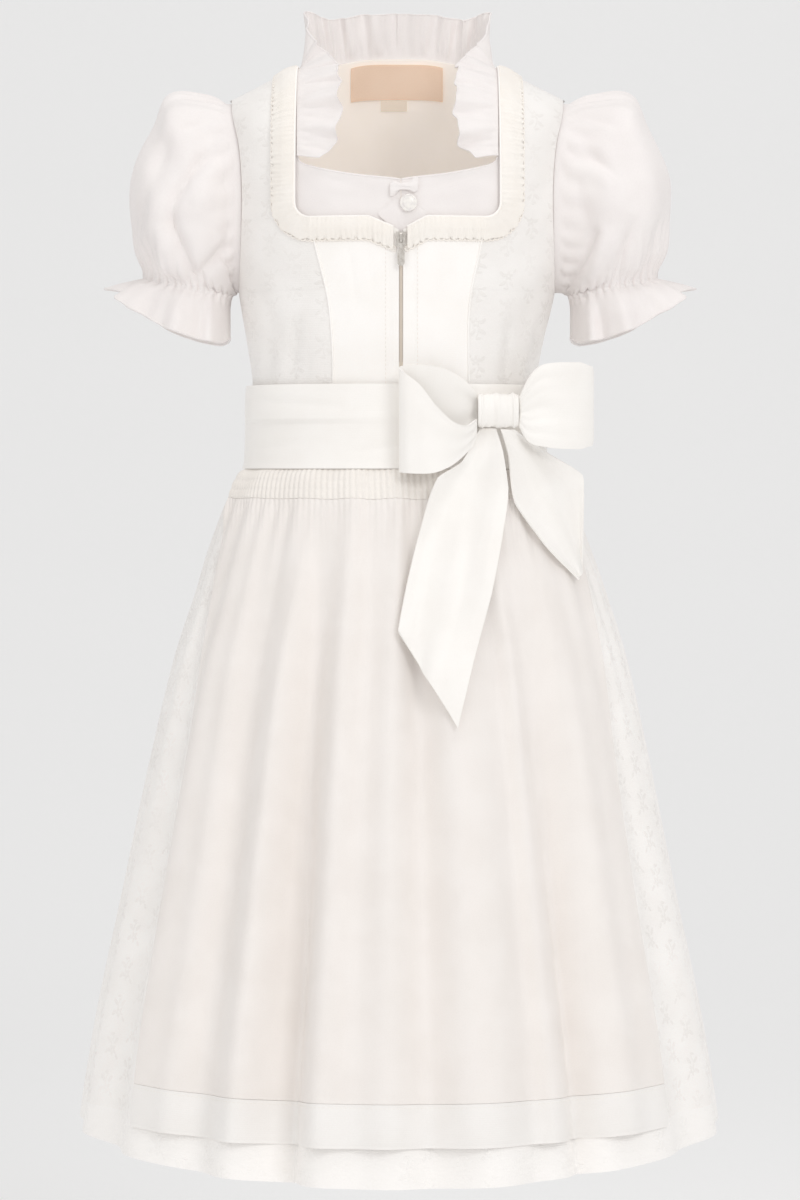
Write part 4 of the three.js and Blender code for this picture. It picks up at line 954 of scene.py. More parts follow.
# A lighter, warmer copy of the batiste with a much stronger painted glow, for the blouse's back: painted
# light, in the warm tone of shade, on its shaded inside that shows through the neck.
painted_light_batiste = cloth_finish(
    "painted light batiste", linear(254, 247, 239), linear(249, 241, 232), 0.8, 0.0005, 0.00004, 0.2, through=0.16,
)
blouse_inset = 3.0
blouse_wall = 1.0
blouse_neck_half = 70
blouse_shrink = 5
blouse_bottom = -110.0
insert_table = table(
    "height half",
    (-200, 0.2),
    (-74, 0.2),
    (-73, 4),
    (-70, 30),
    (-66, 52),
    (-62, 66),
    (-57, 70),
    (12, 70),
)
insert_heights = finer([-200, -170, -146, -143, -130, -105, -85, -74, -73, -70, -66, -62, -57], 5)
strap_rises = finer([40, 62, 92, 120, 142, 154, ridge_rise - 0.2], 4)
insert_rises = np.concatenate([rise_at(insert_heights), strap_rises])
insert_creases = [
    (-60, -70, -12, -84, 3.0, -0.7),
    (-52, -84, -10, -88, 3.0, -0.6),
    (-40, -98, -8, -92, 3.0, 0.5),
    (58, -68, 14, -82, 3.0, -0.7),
    (50, -88, 14, -89, 3.0, -0.6),
    (34, -99, 14, -92, 2.6, 0.5),
]


def insert_x(height, side):
    half = column(insert_table, "half", height)
    return side * half + column(princess_table, "lean", height) * np.minimum(1, half / 20)


for word, side in both_sides:
    angle, rise = strap_panel(
        insert_rises, 30, side, False, lambda up: insert_x(height_at(up), side), blouse_shrink,
    )
    place = body_form(angle, rise)
    swell = np.clip(creases(place, insert_creases) + wavy(place, 17, 0.25), -0.8, 0.9)
    outer, inner = two_sides(body_form, angle, rise, swell - blouse_inset, blouse_wall)
    outer = keep_side(outer, -1)
    inner = keep_side(inner, -1)
    front = wear_cloth(f"blouse_front_{word}", outer, inner, False, batiste, "batiste")


def nape_rise(aside):
    part = np.minimum(1, np.abs(aside) / blouse_neck_half) ** 8
    return np.minimum(shoulder_arc * degree * lerp(nape_degrees, 90, part), ridge_rise - 0.2)


side_columns = [-2, -1.66, -1.33, -1, -0.96, -0.88, -0.72, -0.5, -0.25, 0]
across = finer(side_columns + [-place for place in side_columns[:-1][::-1]], 4)[::-1]
part = finer([0, 0.17, 0.25, 0.36, 0.54, 0.7, 0.82, 0.92, 1], 4)[:, None]
rise = lerp(blouse_bottom, nape_rise(across * blouse_neck_half)[None, :], part)
section = body_section(rise)
neck_angle = angle_at_x(section, section["shift"] + blouse_neck_half * np.minimum(1, np.abs(across)))
angle = lerp(neck_angle, armhole_angle(rise, blouse_shrink), np.maximum(0, np.abs(across) - 1))
angle = math.pi - np.sign(across) * angle
place = body_form(angle, rise)
inside_creases = [
    (-20, 20, -34, -70, 9.0, 0.9),
    (24, 16, 38, -60, 10.0, 0.8),
    (-52, -10, -10, -80, 9.0, -0.8),
    (50, -16, 8, -90, 9.0, -0.7),
]
swell = np.clip(creases(place, inside_creases, 1) + wavy(place, 21, 0.35), -1.0, 0.9)
outer, inner = two_sides(body_form, angle, rise, swell - blouse_inset, blouse_wall)
outer = keep_side(outer, 1)
inner = keep_side(inner, 1)
back = wear_cloth("blouse_back", outer, inner, False, painted_light_batiste, "batiste")

edge_paths = []
edge_heights = np.linspace(-73.8, -57.2, 60)
edge_lift = -3.4
edge_radius = 0.85
for side in (-1, 1):
    rise = rise_at(edge_heights)
    angle = angle_at_x(body_section(rise), insert_x(edge_heights, side))
    edge_paths.append(lifted(body_form, angle, rise, edge_lift))
wear(tube_piece("blouse_rolled_edge", edge_paths, edge_radius, batiste), "batiste")

# Collar frill
# A standing frill of batiste, gathered on the blouse's neckline. It stands up round the nape and
# folds over inwards beside the straps, with a narrow rolled hem along its free edge.
collar_table = table(
    "height aside ahead up",
    (0, -17, -4, -3),
    (0.05, -26, -6, -2),
    (0.22, -29, -7, 7),
    (0.36, -27, -6, 7),
    (0.44, -22, -4, 10),
    (0.5, -12, -1, 18),
    (0.55, -2, 1, 23),
    (0.62, 4, 3, 28),
    (0.72, 3, 3, 33),
    (1, 0, 2, 33),
)
collar_depth = 4.0
collar_waves = 10
collar_gathers = 38
collar_wall = 0.9
collar_hem_radius = 0.75


def collar_point(across, along):
    """A point of the frill: how far round from the back's middle, and how far up from the seam."""
    side = np.where(across < 0, -1.0, 1.0)
    part = 1 - np.abs(across)
    low_rise = lerp(rise_at(-56), ridge_rise, part / 0.5)
    turn = np.maximum(0, (part - 0.5) / 0.5)
    x = blouse_neck_half * (1 - turn ** 1.6)
    rise = np.where(part < 0.5, low_rise, nape_rise(x))
    x = np.where(part < 0.5, blouse_neck_half, x)
    section = body_section(rise)
    angle = angle_at_x(section, side * x + column(princess_table, "lean", height_at(rise)))
    angle = np.where(part < 0.5, angle, math.pi - angle)
    root = lifted(body_form, angle, rise, seam_gap + collar_wall - blouse_inset)
    free = np.stack([side * column(collar_table, "aside", part), column(collar_table, "ahead", part),
                     column(collar_table, "up", part)], -1)
    uneven = part + 0.02 * np.sin(9 * part)
    wave = np.cos(2 * math.pi * collar_waves * uneven)
    wave = np.sign(wave) * np.abs(wave) ** 0.75 * (0.8 + 0.35 * np.sin(17 * part + side))
    wave = wave + 0.3 * np.sin(2 * math.pi * collar_waves * 2.1 * uneven + 3 * along + 1.1 * side)
    phase = 2 * math.pi * collar_gathers * uneven + 2 * np.sin(23 * part)
    gathers = 0.6 * np.cos(phase) * (1 - ease(along * 1.3))
    flare = (collar_depth * (0.15 + 0.85 * along) * wave + gathers) * ease(along * 4)
    lean_out = np.stack(np.broadcast_arrays(
        np.where(part > 0.75, 0, side * 0.4), np.where(part > 0.5, 0.8, -0.8), 0.2), -1)
    return root + free * along[..., None] + lean_out * flare[..., None]


across, along = np.meshgrid(np.linspace(-1, 1, 521), np.linspace(0, 1, 15))
collar_outer = collar_point(across, along)
collar_inner = back_of(collar_outer, collar_wall, False)
frill = wear_cloth("collar_frill", collar_outer, collar_inner, False, batiste, "batiste")
middle = (collar_outer + collar_inner) / 2
edge_line = np.concatenate([middle[:-1, 0], middle[-1], middle[:-1, -1][::-1]])
wear(tube_piece("collar_rolled_hem", [edge_line], collar_hem_radius, batiste, 6), "batiste")

# Puff sleeves
# Each is gathered into the armhole and drawn in again above the elbow by an elastic in a sewn
# channel. Below the channel the cloth ends in a frill with a rolled hem.
underarm_x = 116
underarm_z = -152
# Columns: degrees round from the top of the sleeve, outer reach, inner reach, half depth.
sleeve_table = [
    (11, 149, 4, 47),
    (19.5, 150, 4, 52),
    (26, 135, 4, 54),
    (42, 112.5, 4.5, 55),
    (52, 95.5, 5, 52),
    (65, 78.5, 5.5, 45),
    (78, 65.5, 6, 36),
]
# Columns: how far the frill goes aside, out and down, and the depth of its waves.
frill_table = [
    (9, 5, 0.25, 1.2),
    (18, 10, 0.62, 3),
    (25, 14, 1, 4),
]
sleeve_wall = 0.9
sleeve_shrink = 3.0
sleeve_gathers = 8
head_gathers = 27
foot_gathers = 31
channel_gathers = 52
frill_gathers = 19
sleeve_hem_radius = 0.8
rows_a_step = 8
sleeve_creases = {
    -1: [
        (-119, -24, -150, -34, 4.5, -5.0),
        (-122, -36, -158, -82, 5.0, -6.0),
        (-158, -82, -163, -112, 5.0, -5.0),
        (-128, -54, -141, -92, 9.0, 4.5),
        (-166, -46, -184, -104, 6.5, -5.0),
        (-174, -60, -176, -110, 6.0, 3.6),
        (-160, -100, -146, -140, 5.0, -7.0),
        (-168, -108, -162, -138, 5.5, 4.5),
        (-141, -140, -113, -106, 4.5, -6.0),
        (-126, -66, -124, -112, 7.0, 3.6),
        (-180, -118, -173, -142, 4.0, -4.0),
        (-151, -142, -153, -122, 3.5, 3.0),
    ],
    1: [
        (118, -24, 148, -32, 4.0, -3.6),
        (119, -40, 148, -68, 4.5, -4.2),
        (117, -58, 127, -98, 5.0, -3.8),
        (119, -143, 135, -110, 4.5, -5.6),
        (150, -143, 161, -104, 5.0, -5.6),
        (171, -140, 184, -100, 4.5, -5.0),
        (134, -142, 143, -110, 5.5, 4.0),
        (160, -143, 170, -116, 5.0, 3.4),
        (160, -48, 172, -96, 11.0, 4.0),
        (138, -40, 150, -86, 10.0, 3.4),
    ],
}


def smooth_through(points, pieces, closed):
    """A smooth curve through rows of points, with each step between two rows cut in pieces."""
    if closed:
        rows = np.concatenate([points[-1:], points, points[:2]])
    else:
        rows = np.concatenate([2 * points[:1] - points[1:2], points, 2 * points[-1:] - points[-2:-1]])
    flat = rows.reshape(len(rows), -1, 3)
    steps = np.linalg.norm(np.diff(flat, axis=0), axis=-1).mean(1)
    spans = np.diff(flat, axis=0) / steps[:, None, None]
    early = steps[:-1, None, None]
    late = steps[1:, None, None]
    slopes = (spans[:-1] * late + spans[1:] * early) / (early + late)
    low = flat[1:-2]
    high = flat[2:-1]
    size = steps[1:-1, None, None]
    lines = []
    for part in np.arange(pieces) / pieces:
        square = part * part
        cube = square * part
        lines.append(low * (2 * cube - 3 * square + 1) + high * (3 * square - 2 * cube)
                     + slopes[:-1] * size * (cube - 2 * square + part) + slopes[1:] * size * (cube - square))
    made = np.stack(lines, 1).reshape(-1, flat.shape[1], 3)
    if not closed:
        made = np.concatenate([made, flat[-2:-1]])
    return made.reshape(len(made), *points.shape[1:])


def sleeve_armhole(turn, side, push):
    """The sleeve's seam round the armhole, which is an oval seen from the side."""
    middle = (armhole_top + armhole_bottom) / 2
    half = (armhole_top - armhole_bottom) / 2 - sleeve_shrink
    power = 2 / armhole_round
    up = np.sign(np.cos(turn)) * np.abs(np.cos(turn)) ** power
    forward = np.sign(np.sin(turn)) * np.abs(np.sin(turn)) ** power
    rise = rise_at(middle + half * up)
    around = angle_from_depth(body_section(rise), (armhole_depth - sleeve_shrink) * np.abs(forward))
    points = body_form(np.where(forward >= 0, side * around, math.pi - side * around), rise)
    points[..., 0] += side * push
    return points


def sleeve_ring(turn, side, row, wave=0.0):
    degrees, outer, inner, depth = row
    reach = lerp(inner, outer + wave, 0.5 + 0.5 * np.cos(turn))
    x = side * (underarm_x + reach * math.sin(degrees * degree)) - 0.5
    z = underarm_z + reach * math.cos(degrees * degree)
    return np.stack(np.broadcast_arrays(x, -(depth + wave) * np.sin(turn), z), -1)


channel_seams = []
for word, side in both_sides:
    turn = np.linspace(0, 2 * math.pi, 300, endpoint=False)
    lines = [sleeve_armhole(turn, side, -1.2), sleeve_armhole(turn, side, 2.4)]
    for place, row in enumerate(sleeve_table):
        amount = 2.2 * max(0, 1 - place / 3, 0.6 if place == len(sleeve_table) - 2 else 0)
        wave = amount * np.cos(sleeve_gathers * turn + 0.6 * np.sin(2 * turn))
        ring = sleeve_ring(turn, side, row, wave)
        if place == 0:
            ring = lerp(ring, sleeve_armhole(turn, side, 8), 0.45)
        lines.append(ring)
    for aside, out, down, depth in frill_table:
        ring = sleeve_ring(turn, side, sleeve_table[-1])
        outer_share = 0.5 + 0.5 * np.cos(turn)
        wave = 1.25 * depth * np.cos(sleeve_gathers * turn + 0.7 * np.sin(3 * turn))
        wave = wave + 0.3 * depth * np.cos(frill_gathers * turn + 1.5)
        ring[:, 0] += side * (aside * outer_share ** 1.5 + wave * np.cos(turn) * outer_share)
        ring[:, 1] -= (out + wave) * np.sin(turn)
        ring[:, 2] -= (lerp(35, 7, outer_share ** 3) - 6 * np.exp(-outer_share / 0.04)) * down
        lines.append(ring)
    grid = smooth_through(np.array(lines), rows_a_step, False)
    if side < 0:
        grid = grid[:, ::-1]
        turn = turn[::-1]
    row = np.arange(len(grid))[:, None] / rows_a_step
    drawn = turn[None, :]
    head = ease((row - 1.0) / 0.5) * (1 - ease((row - 1.7) / 1.8))
    foot = ease((row - 5.4) / 2.2) * (1 - ease((row - 8.2) / 1.0))
    channel = ease((row - 7.55) / 0.2) * (1 - ease((row - 8.2) / 0.2))
    at_head = np.cos(head_gathers * drawn + 1.8 * np.sin(3 * drawn)) * (0.7 + 0.3 * np.cos(5 * drawn))
    at_foot = np.cos(foot_gathers * drawn + 1.5 * np.sin(4 * drawn)) * (0.7 + 0.3 * np.sin(3 * drawn))
    at_channel = 0.8 + 0.7 * np.cos(channel_gathers * drawn + 2 * np.sin(5 * drawn))
    swell = 1.2 * head * at_head + 1.4 * foot * at_foot + channel * at_channel
    puff = ease((row - 1.6) / 1.2) * (1 - ease((row - 7.0) / 1.0))
    swell += puff * (creases(grid, sleeve_creases[side]) + wavy(grid, 16, 1.1))
    out = grid - back_of(grid, 1.0, True)
    outer = grid + out * swell[..., None]
    facing = back_of(outer, -sleeve_wall, True)
    sleeve = wear_cloth(f"sleeve_{word}", outer, facing, True, batiste, "batiste")
    for line in (round(7.5 * rows_a_step), round(8.25 * rows_a_step)):
        above = outer[line] + out[line] * 0.1
        channel_seams.append((above, above - out[line]))
    hem_line = (outer[-1] + facing[-1]) / 2
    wear(tube_piece(f"sleeve_hem_{word}", [hem_line], sleeve_hem_radius, batiste, 6, True), "batiste")

# Blouse closing
# A pointed tab, a pearly domed button sewn on it through its shank, and a small tied bow of the
# same batiste above it.
tab_table = table(
    "height half",
    (-111, 3),
    (-104, 11),
    (-97, 17),
    (-92, 12),
    (-88, 6),
)
tab_wall = 0.7
tab_height = np.linspace(-111, -88, 24)[:, None]
tab_across = np.linspace(-1, 1, 25)[None, :]
rise = rise_at(tab_height)
angle = angle_at_x(body_section(rise), 1 + tab_across * column(tab_table, "half", tab_height))
tab_creases = [
    (-15, -97, -4, -89, 1.0, -0.25),
    (17, -97, 9, -89, 1.0, -0.25),
    (-2, -98, 1, -109, 1.6, 0.2),
]
swell = creases(body_form(angle, rise), tab_creases) - 2.0
outer, inner = two_sides(body_form, angle, rise, swell, tab_wall)
tab = wear_cloth("blouse_tab", outer, inner, False, batiste, "batiste")

button_middle = np.array([5.2, -87.2, -90.4])
# Columns: reach from the middle, how far in front.
button_profile = [
    (0.02, 1.6), (2.0, 1.45), (3.6, 1.1), (4.4, 0.7), (4.9, 0.75), (5.5, 0.8), (5.95, 0.3), (6.0, -0.2),
    (5.6, -0.9), (4.0, -1.3), (1.5, -1.55), (0.02, -1.6),
]
sides = 40
turn = np.linspace(0, 2 * math.pi, sides, endpoint=False)
rings = []
for reach, front in button_profile:
    ring = np.stack([reach * np.cos(turn), np.full_like(turn, -front), reach * np.sin(turn)], -1)
    rings.append(button_middle + ring)
rings = smooth_through(np.array(rings), 3, False)
button_faces = []
for base in range(0, (len(rings) - 1) * sides, sides):
    for step in range(sides):
        after = (step + 1) % sides
        button_faces.append((base + step, base + after, base + sides + after, base + sides + step))
button_faces.append(tuple(range(sides))[::-1])
button_faces.append(tuple(range((len(rings) - 1) * sides, len(rings) * sides)))
button_mesh = bpy.data.meshes.new("blouse_pearl_button")
button_mesh.from_pydata((rings.reshape(-1, 3) * millimetre).tolist(), [], button_faces)
button_mesh.shade_smooth()
pearl, surface, start = new_finish("pearl")
cloud = start.noise(start.place(), 260.0, 2.0)
tone = cloud.step(0.35, 0.7).mix(linear(250, 246, 240), linear(236, 231, 228))
fill(surface, {"Base Color": tone, "Roughness": 0.22, "Coat Weight": 0.6})
button_mesh.materials.append(pearl)
wear(add_object("blouse_pearl_button", button_mesh), "pearl", "blouse_button")

tie_middle = np.array([2.1, -85.35, -79.2])
tie_half = 9.6
rings = []
for along in np.linspace(-1, 1, 41):
    spread = ease(abs(along) * 1.1)
    high = lerp(2.0, 4.8, spread) * (1 + 0.1 * math.cos(9 * along))
    deep = lerp(1.9, 1.3, spread)
    ripple = 0.35 * np.cos(5 * turn + 3 * along) * (1 - spread * 0.4)
    x = np.full_like(turn, tie_middle[0] + along * tie_half)
    y = tie_middle[1] + (deep + ripple) * np.sin(turn)
    z = tie_middle[2] + 2.2 * along * abs(along) + (high + ripple) * np.cos(turn)
    rings.append(np.stack([x, y, z], -1))
outer = np.array(rings)
centre = outer.mean(1, keepdims=True)
inner = centre + (outer - centre) * 0.72
tie = wear_cloth("blouse_bow", outer, inner, True, batiste, "batiste")


def stitch(start):
    """One stitch of thread, along the seam."""
    ball = start.node("GeometryNodeMeshIcoSphere", {}, {"Radius": 0.001, "Subdivisions": 1})
    return start.node("GeometryNodeTransform", {}, {"Geometry": ball, "Scale": (1.15, 0.3, 0.22)})


def sew(name, seams, finish, pitch=3.0):
    """Rows of stitches, from pairs of lines: where the thread lies, and a line below it."""
    lines = [line for line, base in seams]
    outs = [outward(line, base) for line, base in seams]
    return wear(repeat_along(name, lines, outs, pitch, finish, stitch), "satin")


thread = cloth_finish("thread", linear(244, 240, 235), linear(234, 229, 223), 0.6, 0.0004, 0.00005, 0.2)
thread_lift = 0.1
thread_base = 1.0
sew("sleeve_channel_stitches", channel_seams, thread, 2.6)

# Labels
# A bare woven label is sewn inside the nape by its four edges, and a small bare size tag hangs
# from its lower edge.
# The label and the size tag have a stronger painted glow, which lightens them in the shade inside the nape.
peach = cloth_finish(
    "peach weave", linear(246, 220, 198), linear(238, 210, 186), 0.65, 0.0006, 0.00006, 0.2, True,
    through=0.1,
)
beige = cloth_finish(
    "beige weave", linear(242, 229, 213), linear(234, 220, 203), 0.65, 0.0006, 0.00006, 0.2, through=0.14,
)
label_lift = -4.6
label_wall = 0.6
for name, finish, left, right, top, bottom, flat, area in (
    ("neck_label", peach, -37, 31, 73, 59, (0.069, 0.029), 0.00150),
    ("size_tag", beige, -14.6, 4.4, 58.6, 54.5, (0.0194, 0.0102), 0.00015),
):
    rise = np.linspace(bottom, top, 25)[:, None]
    angle = math.pi - angle_at_x(body_section(rise), np.linspace(right, left, 61)[None, :])
    swell = 0.12 * np.sin(angle * 21) * np.sin(rise / 3.1)
    outer, inner = two_sides(body_form, angle, rise, label_lift + swell, label_wall)
    patch = wear_cloth(name, outer, inner, False, finish, "woven")

label_seams = []
for start_x, start_rise, end_x, end_rise in (
    (-36, 72.2, 30, 72.2), (-36, 59.8, 30, 59.8), (-36.2, 72, -36.2, 60), (30.2, 72, 30.2, 60),
):
    rise = np.linspace(start_rise, end_rise, 60)
    angle = math.pi - angle_at_x(body_section(rise), np.linspace(start_x, end_x, 60))
    label_seams.append(two_sides(body_form, angle, rise, label_lift - 0.75, -thread_base))
sew("label_stitches", label_seams, peach, 2.4)

# Zip
# A fine metal zip closes the centre fronts: a beige tape, two rows of teeth, a slider and a
# hanging pull tab, which turns on the slider's bridge.
tape = cloth_finish("zip tape", linear(222, 212, 200), linear(212, 201, 188), 0.7, 0.0005, 0.00004, 0.1)
metal, surface, start = new_finish("zip metal")
brushed = start.noise(start.place(), 420.0, 2.0)
tone = brushed.step(0.3, 0.75).mix(linear(226, 221, 214), linear(198, 191, 183))
fill(surface, {"Base Color": tone, "Roughness": brushed * 0.2 + 0.22, "Metallic": 0.7})
for name in ("zip_slider", "zip_pull"):
    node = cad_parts[name]
    node.data.materials.clear()
    node.data.materials.append(metal)

tape_lift = -0.45
tape_wall = 0.65
zip_rises = np.linspace(waist_rise, -22, 90)
angle = angle_at_x(body_section(zip_rises[:, None]), np.linspace(-zip_half, zip_half, 5)[None, :])
outer, inner = two_sides(body_form, angle, zip_rises[:, None], tape_lift, tape_wall)
chain = wear(cloth_piece("zip_tape_strip", outer, inner, False, tape), "metal", "zip_chain")

placket_seams = []
seam_rises = np.linspace(-148, -26, 120)
placket_seam_places = (-10.6, 11.4)
placket_lift = 0.12
for x in placket_seam_places:
    angle = angle_at_x(body_section(seam_rises), x)
    swell = np.minimum(creases(body_form(angle, seam_rises), centre_creases), 0.5)
    placket_seams.append(two_sides(body_form, angle, seam_rises, swell + placket_lift, thread_base))
sew("placket_stitches", placket_seams, thread)


def zip_tooth(start):
    return start.node("GeometryNodeMeshCube", {}, {"Size": (0.0006, 0.0010, 0.0005)})


tooth_pitch = 1.2
tooth_aside = 0.42
tooth_shift = 0.4
tooth_lift = -0.3
tooth_paths = []
tooth_outs = []
for side in (-1, 1):
    rise = zip_rises + (tooth_shift if side > 0 else 0)
    angle = angle_at_x(body_section(rise), side * tooth_aside)
    line, base = two_sides(body_form, angle, rise, tooth_lift, thread_base)
    tooth_paths.append(line)
    tooth_outs.append(outward(line, base))
teeth = repeat_along("zip_teeth", tooth_paths, tooth_outs, tooth_pitch, tape, zip_tooth)
wear(teeth, "metal")

# Skirt
# A front and a back panel of the same jacquard, gathered into the waist seam, with a deep hem
# turned up inside. The cloth falls in broad soft folds from the waist to the hem.
skirt_table = table(
    "height half front back shift",
    (-241, 101, 77, 74, -4),
    (-262, 102, 78.5, 76.5, -3.5),
    (-273, 104.5, 81, 80, -3),
    (-281, 111.5, 87, 86, -2.5),
    (-298, 121, 95, 95, -1.5),
    (-332, 134, 106, 107, -1),
    (-367, 145, 118, 118, 0),
    (-401, 156, 128, 128, 0),
    (-469, 172, 145, 145, 0),
    (-572, 193, 166, 166, 0),
    (-674, 214, 188, 188, 0),
    (-750, 225, 200, 200, 0),
)
# The skirt's copy of the jacquard is painted a few shades lighter than the bodice's: painted light on the
# skirt's sides.
hemmed = cloth_finish(
    "hemmed jacquard", linear(254, 251, 248), linear(243, 239, 235), 0.46, 0.0008, 0.00012, 0.15, True,
    sprigs=1.4, hem=-0.7145,
)
# Columns of a fold: degrees round from the front, spread in degrees, depth.
skirt_folds = [
    (-37, 4.5, -10),
    (-29, 4, 3),
    (-21, 5, -15),
    (-9, 6, 8),
    (4, 3.5, -5),
    (15, 6, 5),
    (24, 3, -4),
    (33, 5, -15),
    (45, 4, 3),
    (58, 7, -7),
    (-62, 6, -8),
    (101, 8, -9),
    (137, 7, -10),
    (168, 9, -8),
    (205, 7, -11),
    (246, 8, -9),
]
narrow_folds = (-19.5, 34)
narrow_depth = 11
narrow_spread = 2.3
gather_count = 20
fine_gathers = 88
low_ripples = 41
hem_side = -735
hem_front = -744
hem_turn = 26
hem_groove = 27.5
hem_stitches = 29.5


def skirt_form(angle, height):
    x, y = ring_point(section_at(skirt_table, height), angle)
    return np.stack(np.broadcast_arrays(x, y, height), -1)


def skirt_wave(angle, height):
    """How far the skirt's gathers and broad folds stand out of its form."""
    fall = ease((waist_height - height) / (waist_height - hem_front))
    uneven = 0.75 + 0.25 * np.sin(3 * angle + 1)
    phase = gather_count * angle + 0.9 * np.sin(3 * angle) + 0.5 * np.sin(5 * angle + 1)
    wave = lerp(0.6, 5.2, np.sqrt(fall)) * uneven * np.cos(phase)
    begin = ease((waist_height - 40 - height) / 260)
    low = ease((-450 - height) / 200)
    for place in narrow_folds:
        wave = wave - narrow_depth * low * np.exp(-(((angle / degree - place) / narrow_spread) ** 2))
    for place, spread, depth in skirt_folds:
        away = np.arctan2(np.sin(angle - place * degree), np.cos(angle - place * degree))
        wave = wave + depth * begin * np.exp(-((away / (spread * degree)) ** 2))
    return wave


def skirt_detail(angle, height):
    """Finer gathers under the waist seam, and the ripples that they leave in the cloth below."""
    below = waist_height - height
    first = 0.9 * np.exp(-below / 90) * np.cos(fine_gathers * angle + 2 * np.sin(7 * angle) + below / 60)
    phase = low_ripples * angle + 1.6 * np.sin(4 * angle) - below / 120
    second = 0.7 * np.exp(-((below - 150) / 190) ** 2) * np.cos(phase)
    return (first + second) * ease(below / 12)


def skirt_swell(angle, height):
    return skirt_wave(angle, height) + skirt_detail(angle, height)


for word, begin, hand in (("front", -90, -1), ("back", 90, 1)):
    part = finer([0, 0.045, 0.071, 0.107, 0.16, 0.26, 0.45, 0.72, 0.955, 1], 6)[:, None]
    wide = np.linspace(begin, begin + 180, 289)[None, :] * degree
    hem = lerp(hem_side, hem_front, np.cos(wide) ** 2)
    height = lerp(waist_height - seam_gap, hem, part)
    trim_angle = seam_gap / 2 / column(skirt_table, "front", height)
    angle = wide + 0 * height
    angle[:, 0] += trim_angle[:, 0]
    angle[:, -1] -= trim_angle[:, -1]
    above_hem = height - hem
    doubled = 0.5 * (1 - ease((above_hem - hem_turn) / 1.6))
    doubled = doubled - 0.35 * np.exp(-((above_hem - hem_groove) / 0.8) ** 2)
    grid = lifted(skirt_form, angle, height, skirt_swell(angle, height) + doubled)
    inner = back_of(grid, cloth_wall, False)
    outer = keep_side(grid, hand)
    inner = keep_side(inner, hand)
    panel = wear_cloth(f"skirt_{word}", outer, inner, False, hemmed, "jacquard")

hem_seams = []
for hand in (-1, 1):
    angle = np.linspace(-88, 88, 700) * degree + (0 if hand < 0 else math.pi)
    height = lerp(hem_side, hem_front, np.cos(angle) ** 2) + hem_stitches
    lift = skirt_swell(angle, height) + thread_lift
    hem_seams.append(two_sides(skirt_form, angle, height, lift, thread_base))
sew("skirt_hem_stitches", hem_seams, thread, 3.6)

# Apron
# A sheer voile panel whose top is smocked into fine pleats under the sash. It hangs in its own
# folds over the skirt, and ends in a wide band of opaque satin.
voile = cloth_finish(
    "voile", linear(252, 247, 243), linear(246, 240, 235), 0.75, 0.0006, 0.00005, 0.3, alpha=0.86,
)
# The smocked heading has a darker, opaque copy of the voile; its darker tone is painted shade on the
# gathered heading.
shaded_smocked_voile = cloth_finish(
    "shaded smocked voile", linear(244, 239, 233), linear(235, 229, 223), 0.75, 0.0006, 0.00005, 0.3,
)
band_satin = cloth_finish(
    "band satin", linear(244, 241, 238), linear(238, 234, 230), 0.36, 0.0007, 0.00005, 0.1, True,
)
apron_table = table(
    "height half",
    (-274, 80),
    (-295, 74),
    (-340, 66),
    (-430, 60),
    (-560, 56),
    (-718, 53),
)
apron_folds = [
    (-44, 3.5, 4),
    (-28, 3, 6),
    (-14, 4, 7),
    (-3, 4, 5),
    (10, 4, 6),
    (27, 3, 6),
    (42, 3.5, 5),
]
apron_top = -277
smock_bottom = -295
band_top = -690
apron_hem = -718
apron_clear = 3.7
voile_wall = 0.5
band_wall = 1.3
apron_gathers = 46
apron_ripples = 24
smock_pleats = 74
smock_columns = smock_pleats * 6 + 1
smock_lines = 3


def apron_angle(across, height):
    return across * column(apron_table, "half", height) * degree


def apron_lift(angle, height):
    begin = ease((apron_top - height) / 150)
    lift = skirt_wave(angle, height) + apron_clear
    for place, spread, depth in apron_folds:
        lift = lift + depth * begin * np.exp(-(((angle / degree - place) / spread) ** 2))
    return lift


def apron_detail(angle, height):
    """Ripples that run down from the smocking, and the finer creases of thin cloth."""
    below = smock_bottom - height
    first = 1.1 * np.exp(-below / 60) * np.cos(apron_gathers * angle + 1.5 * np.sin(9 * angle))
    phase = apron_ripples * angle + 1.7 * np.sin(5 * angle) + below / 150
    second = np.exp(-((below - 120) / 200) ** 2) * np.cos(phase)
    return np.maximum((first + second) * ease(below / 10 + 0.15), -1.8)


def apron_swell(angle, height):
    return apron_lift(angle, height) + apron_detail(angle, height)


across = np.linspace(-1, 1, smock_columns)[None, :]
height = np.concatenate([
    np.linspace(smock_bottom - seam_gap, smock_bottom - 24, 12),
    np.linspace(smock_bottom - 30, band_top + seam_gap / 2, 46),
])[:, None]
angle = apron_angle(across, height)
flow = 0.9 * np.exp(-(smock_bottom - height) / 11) * (0.5 - 0.5 * np.cos(across * smock_pleats * math.pi))
outer = lifted(skirt_form, angle, height, apron_swell(angle, height) + flow)
panel = wear_cloth("apron_panel", outer, back_of(outer, -voile_wall, False), False, voile, "sheer")

height = np.linspace(band_top - seam_gap / 2, apron_hem, 26)[:, None]
angle = apron_angle(across, height)
edge = np.minimum(height - apron_hem, band_top - height)
pressed = 0.35 * (1 - np.exp(-((edge - 1.6) / 0.7) ** 2))
outer = lifted(skirt_form, angle, height, apron_swell(angle, height) + pressed)
band = wear_cloth("apron_hem_band", outer, back_of(outer, -band_wall, False), False, band_satin, "satin")

height = band_top - 2.4
angle = apron_angle(np.linspace(-0.995, 0.995, 600), height)
lift = apron_swell(angle, height) + 0.25
sew("apron_band_stitches", [two_sides(skirt_form, angle, height, lift, thread_base)], thread)

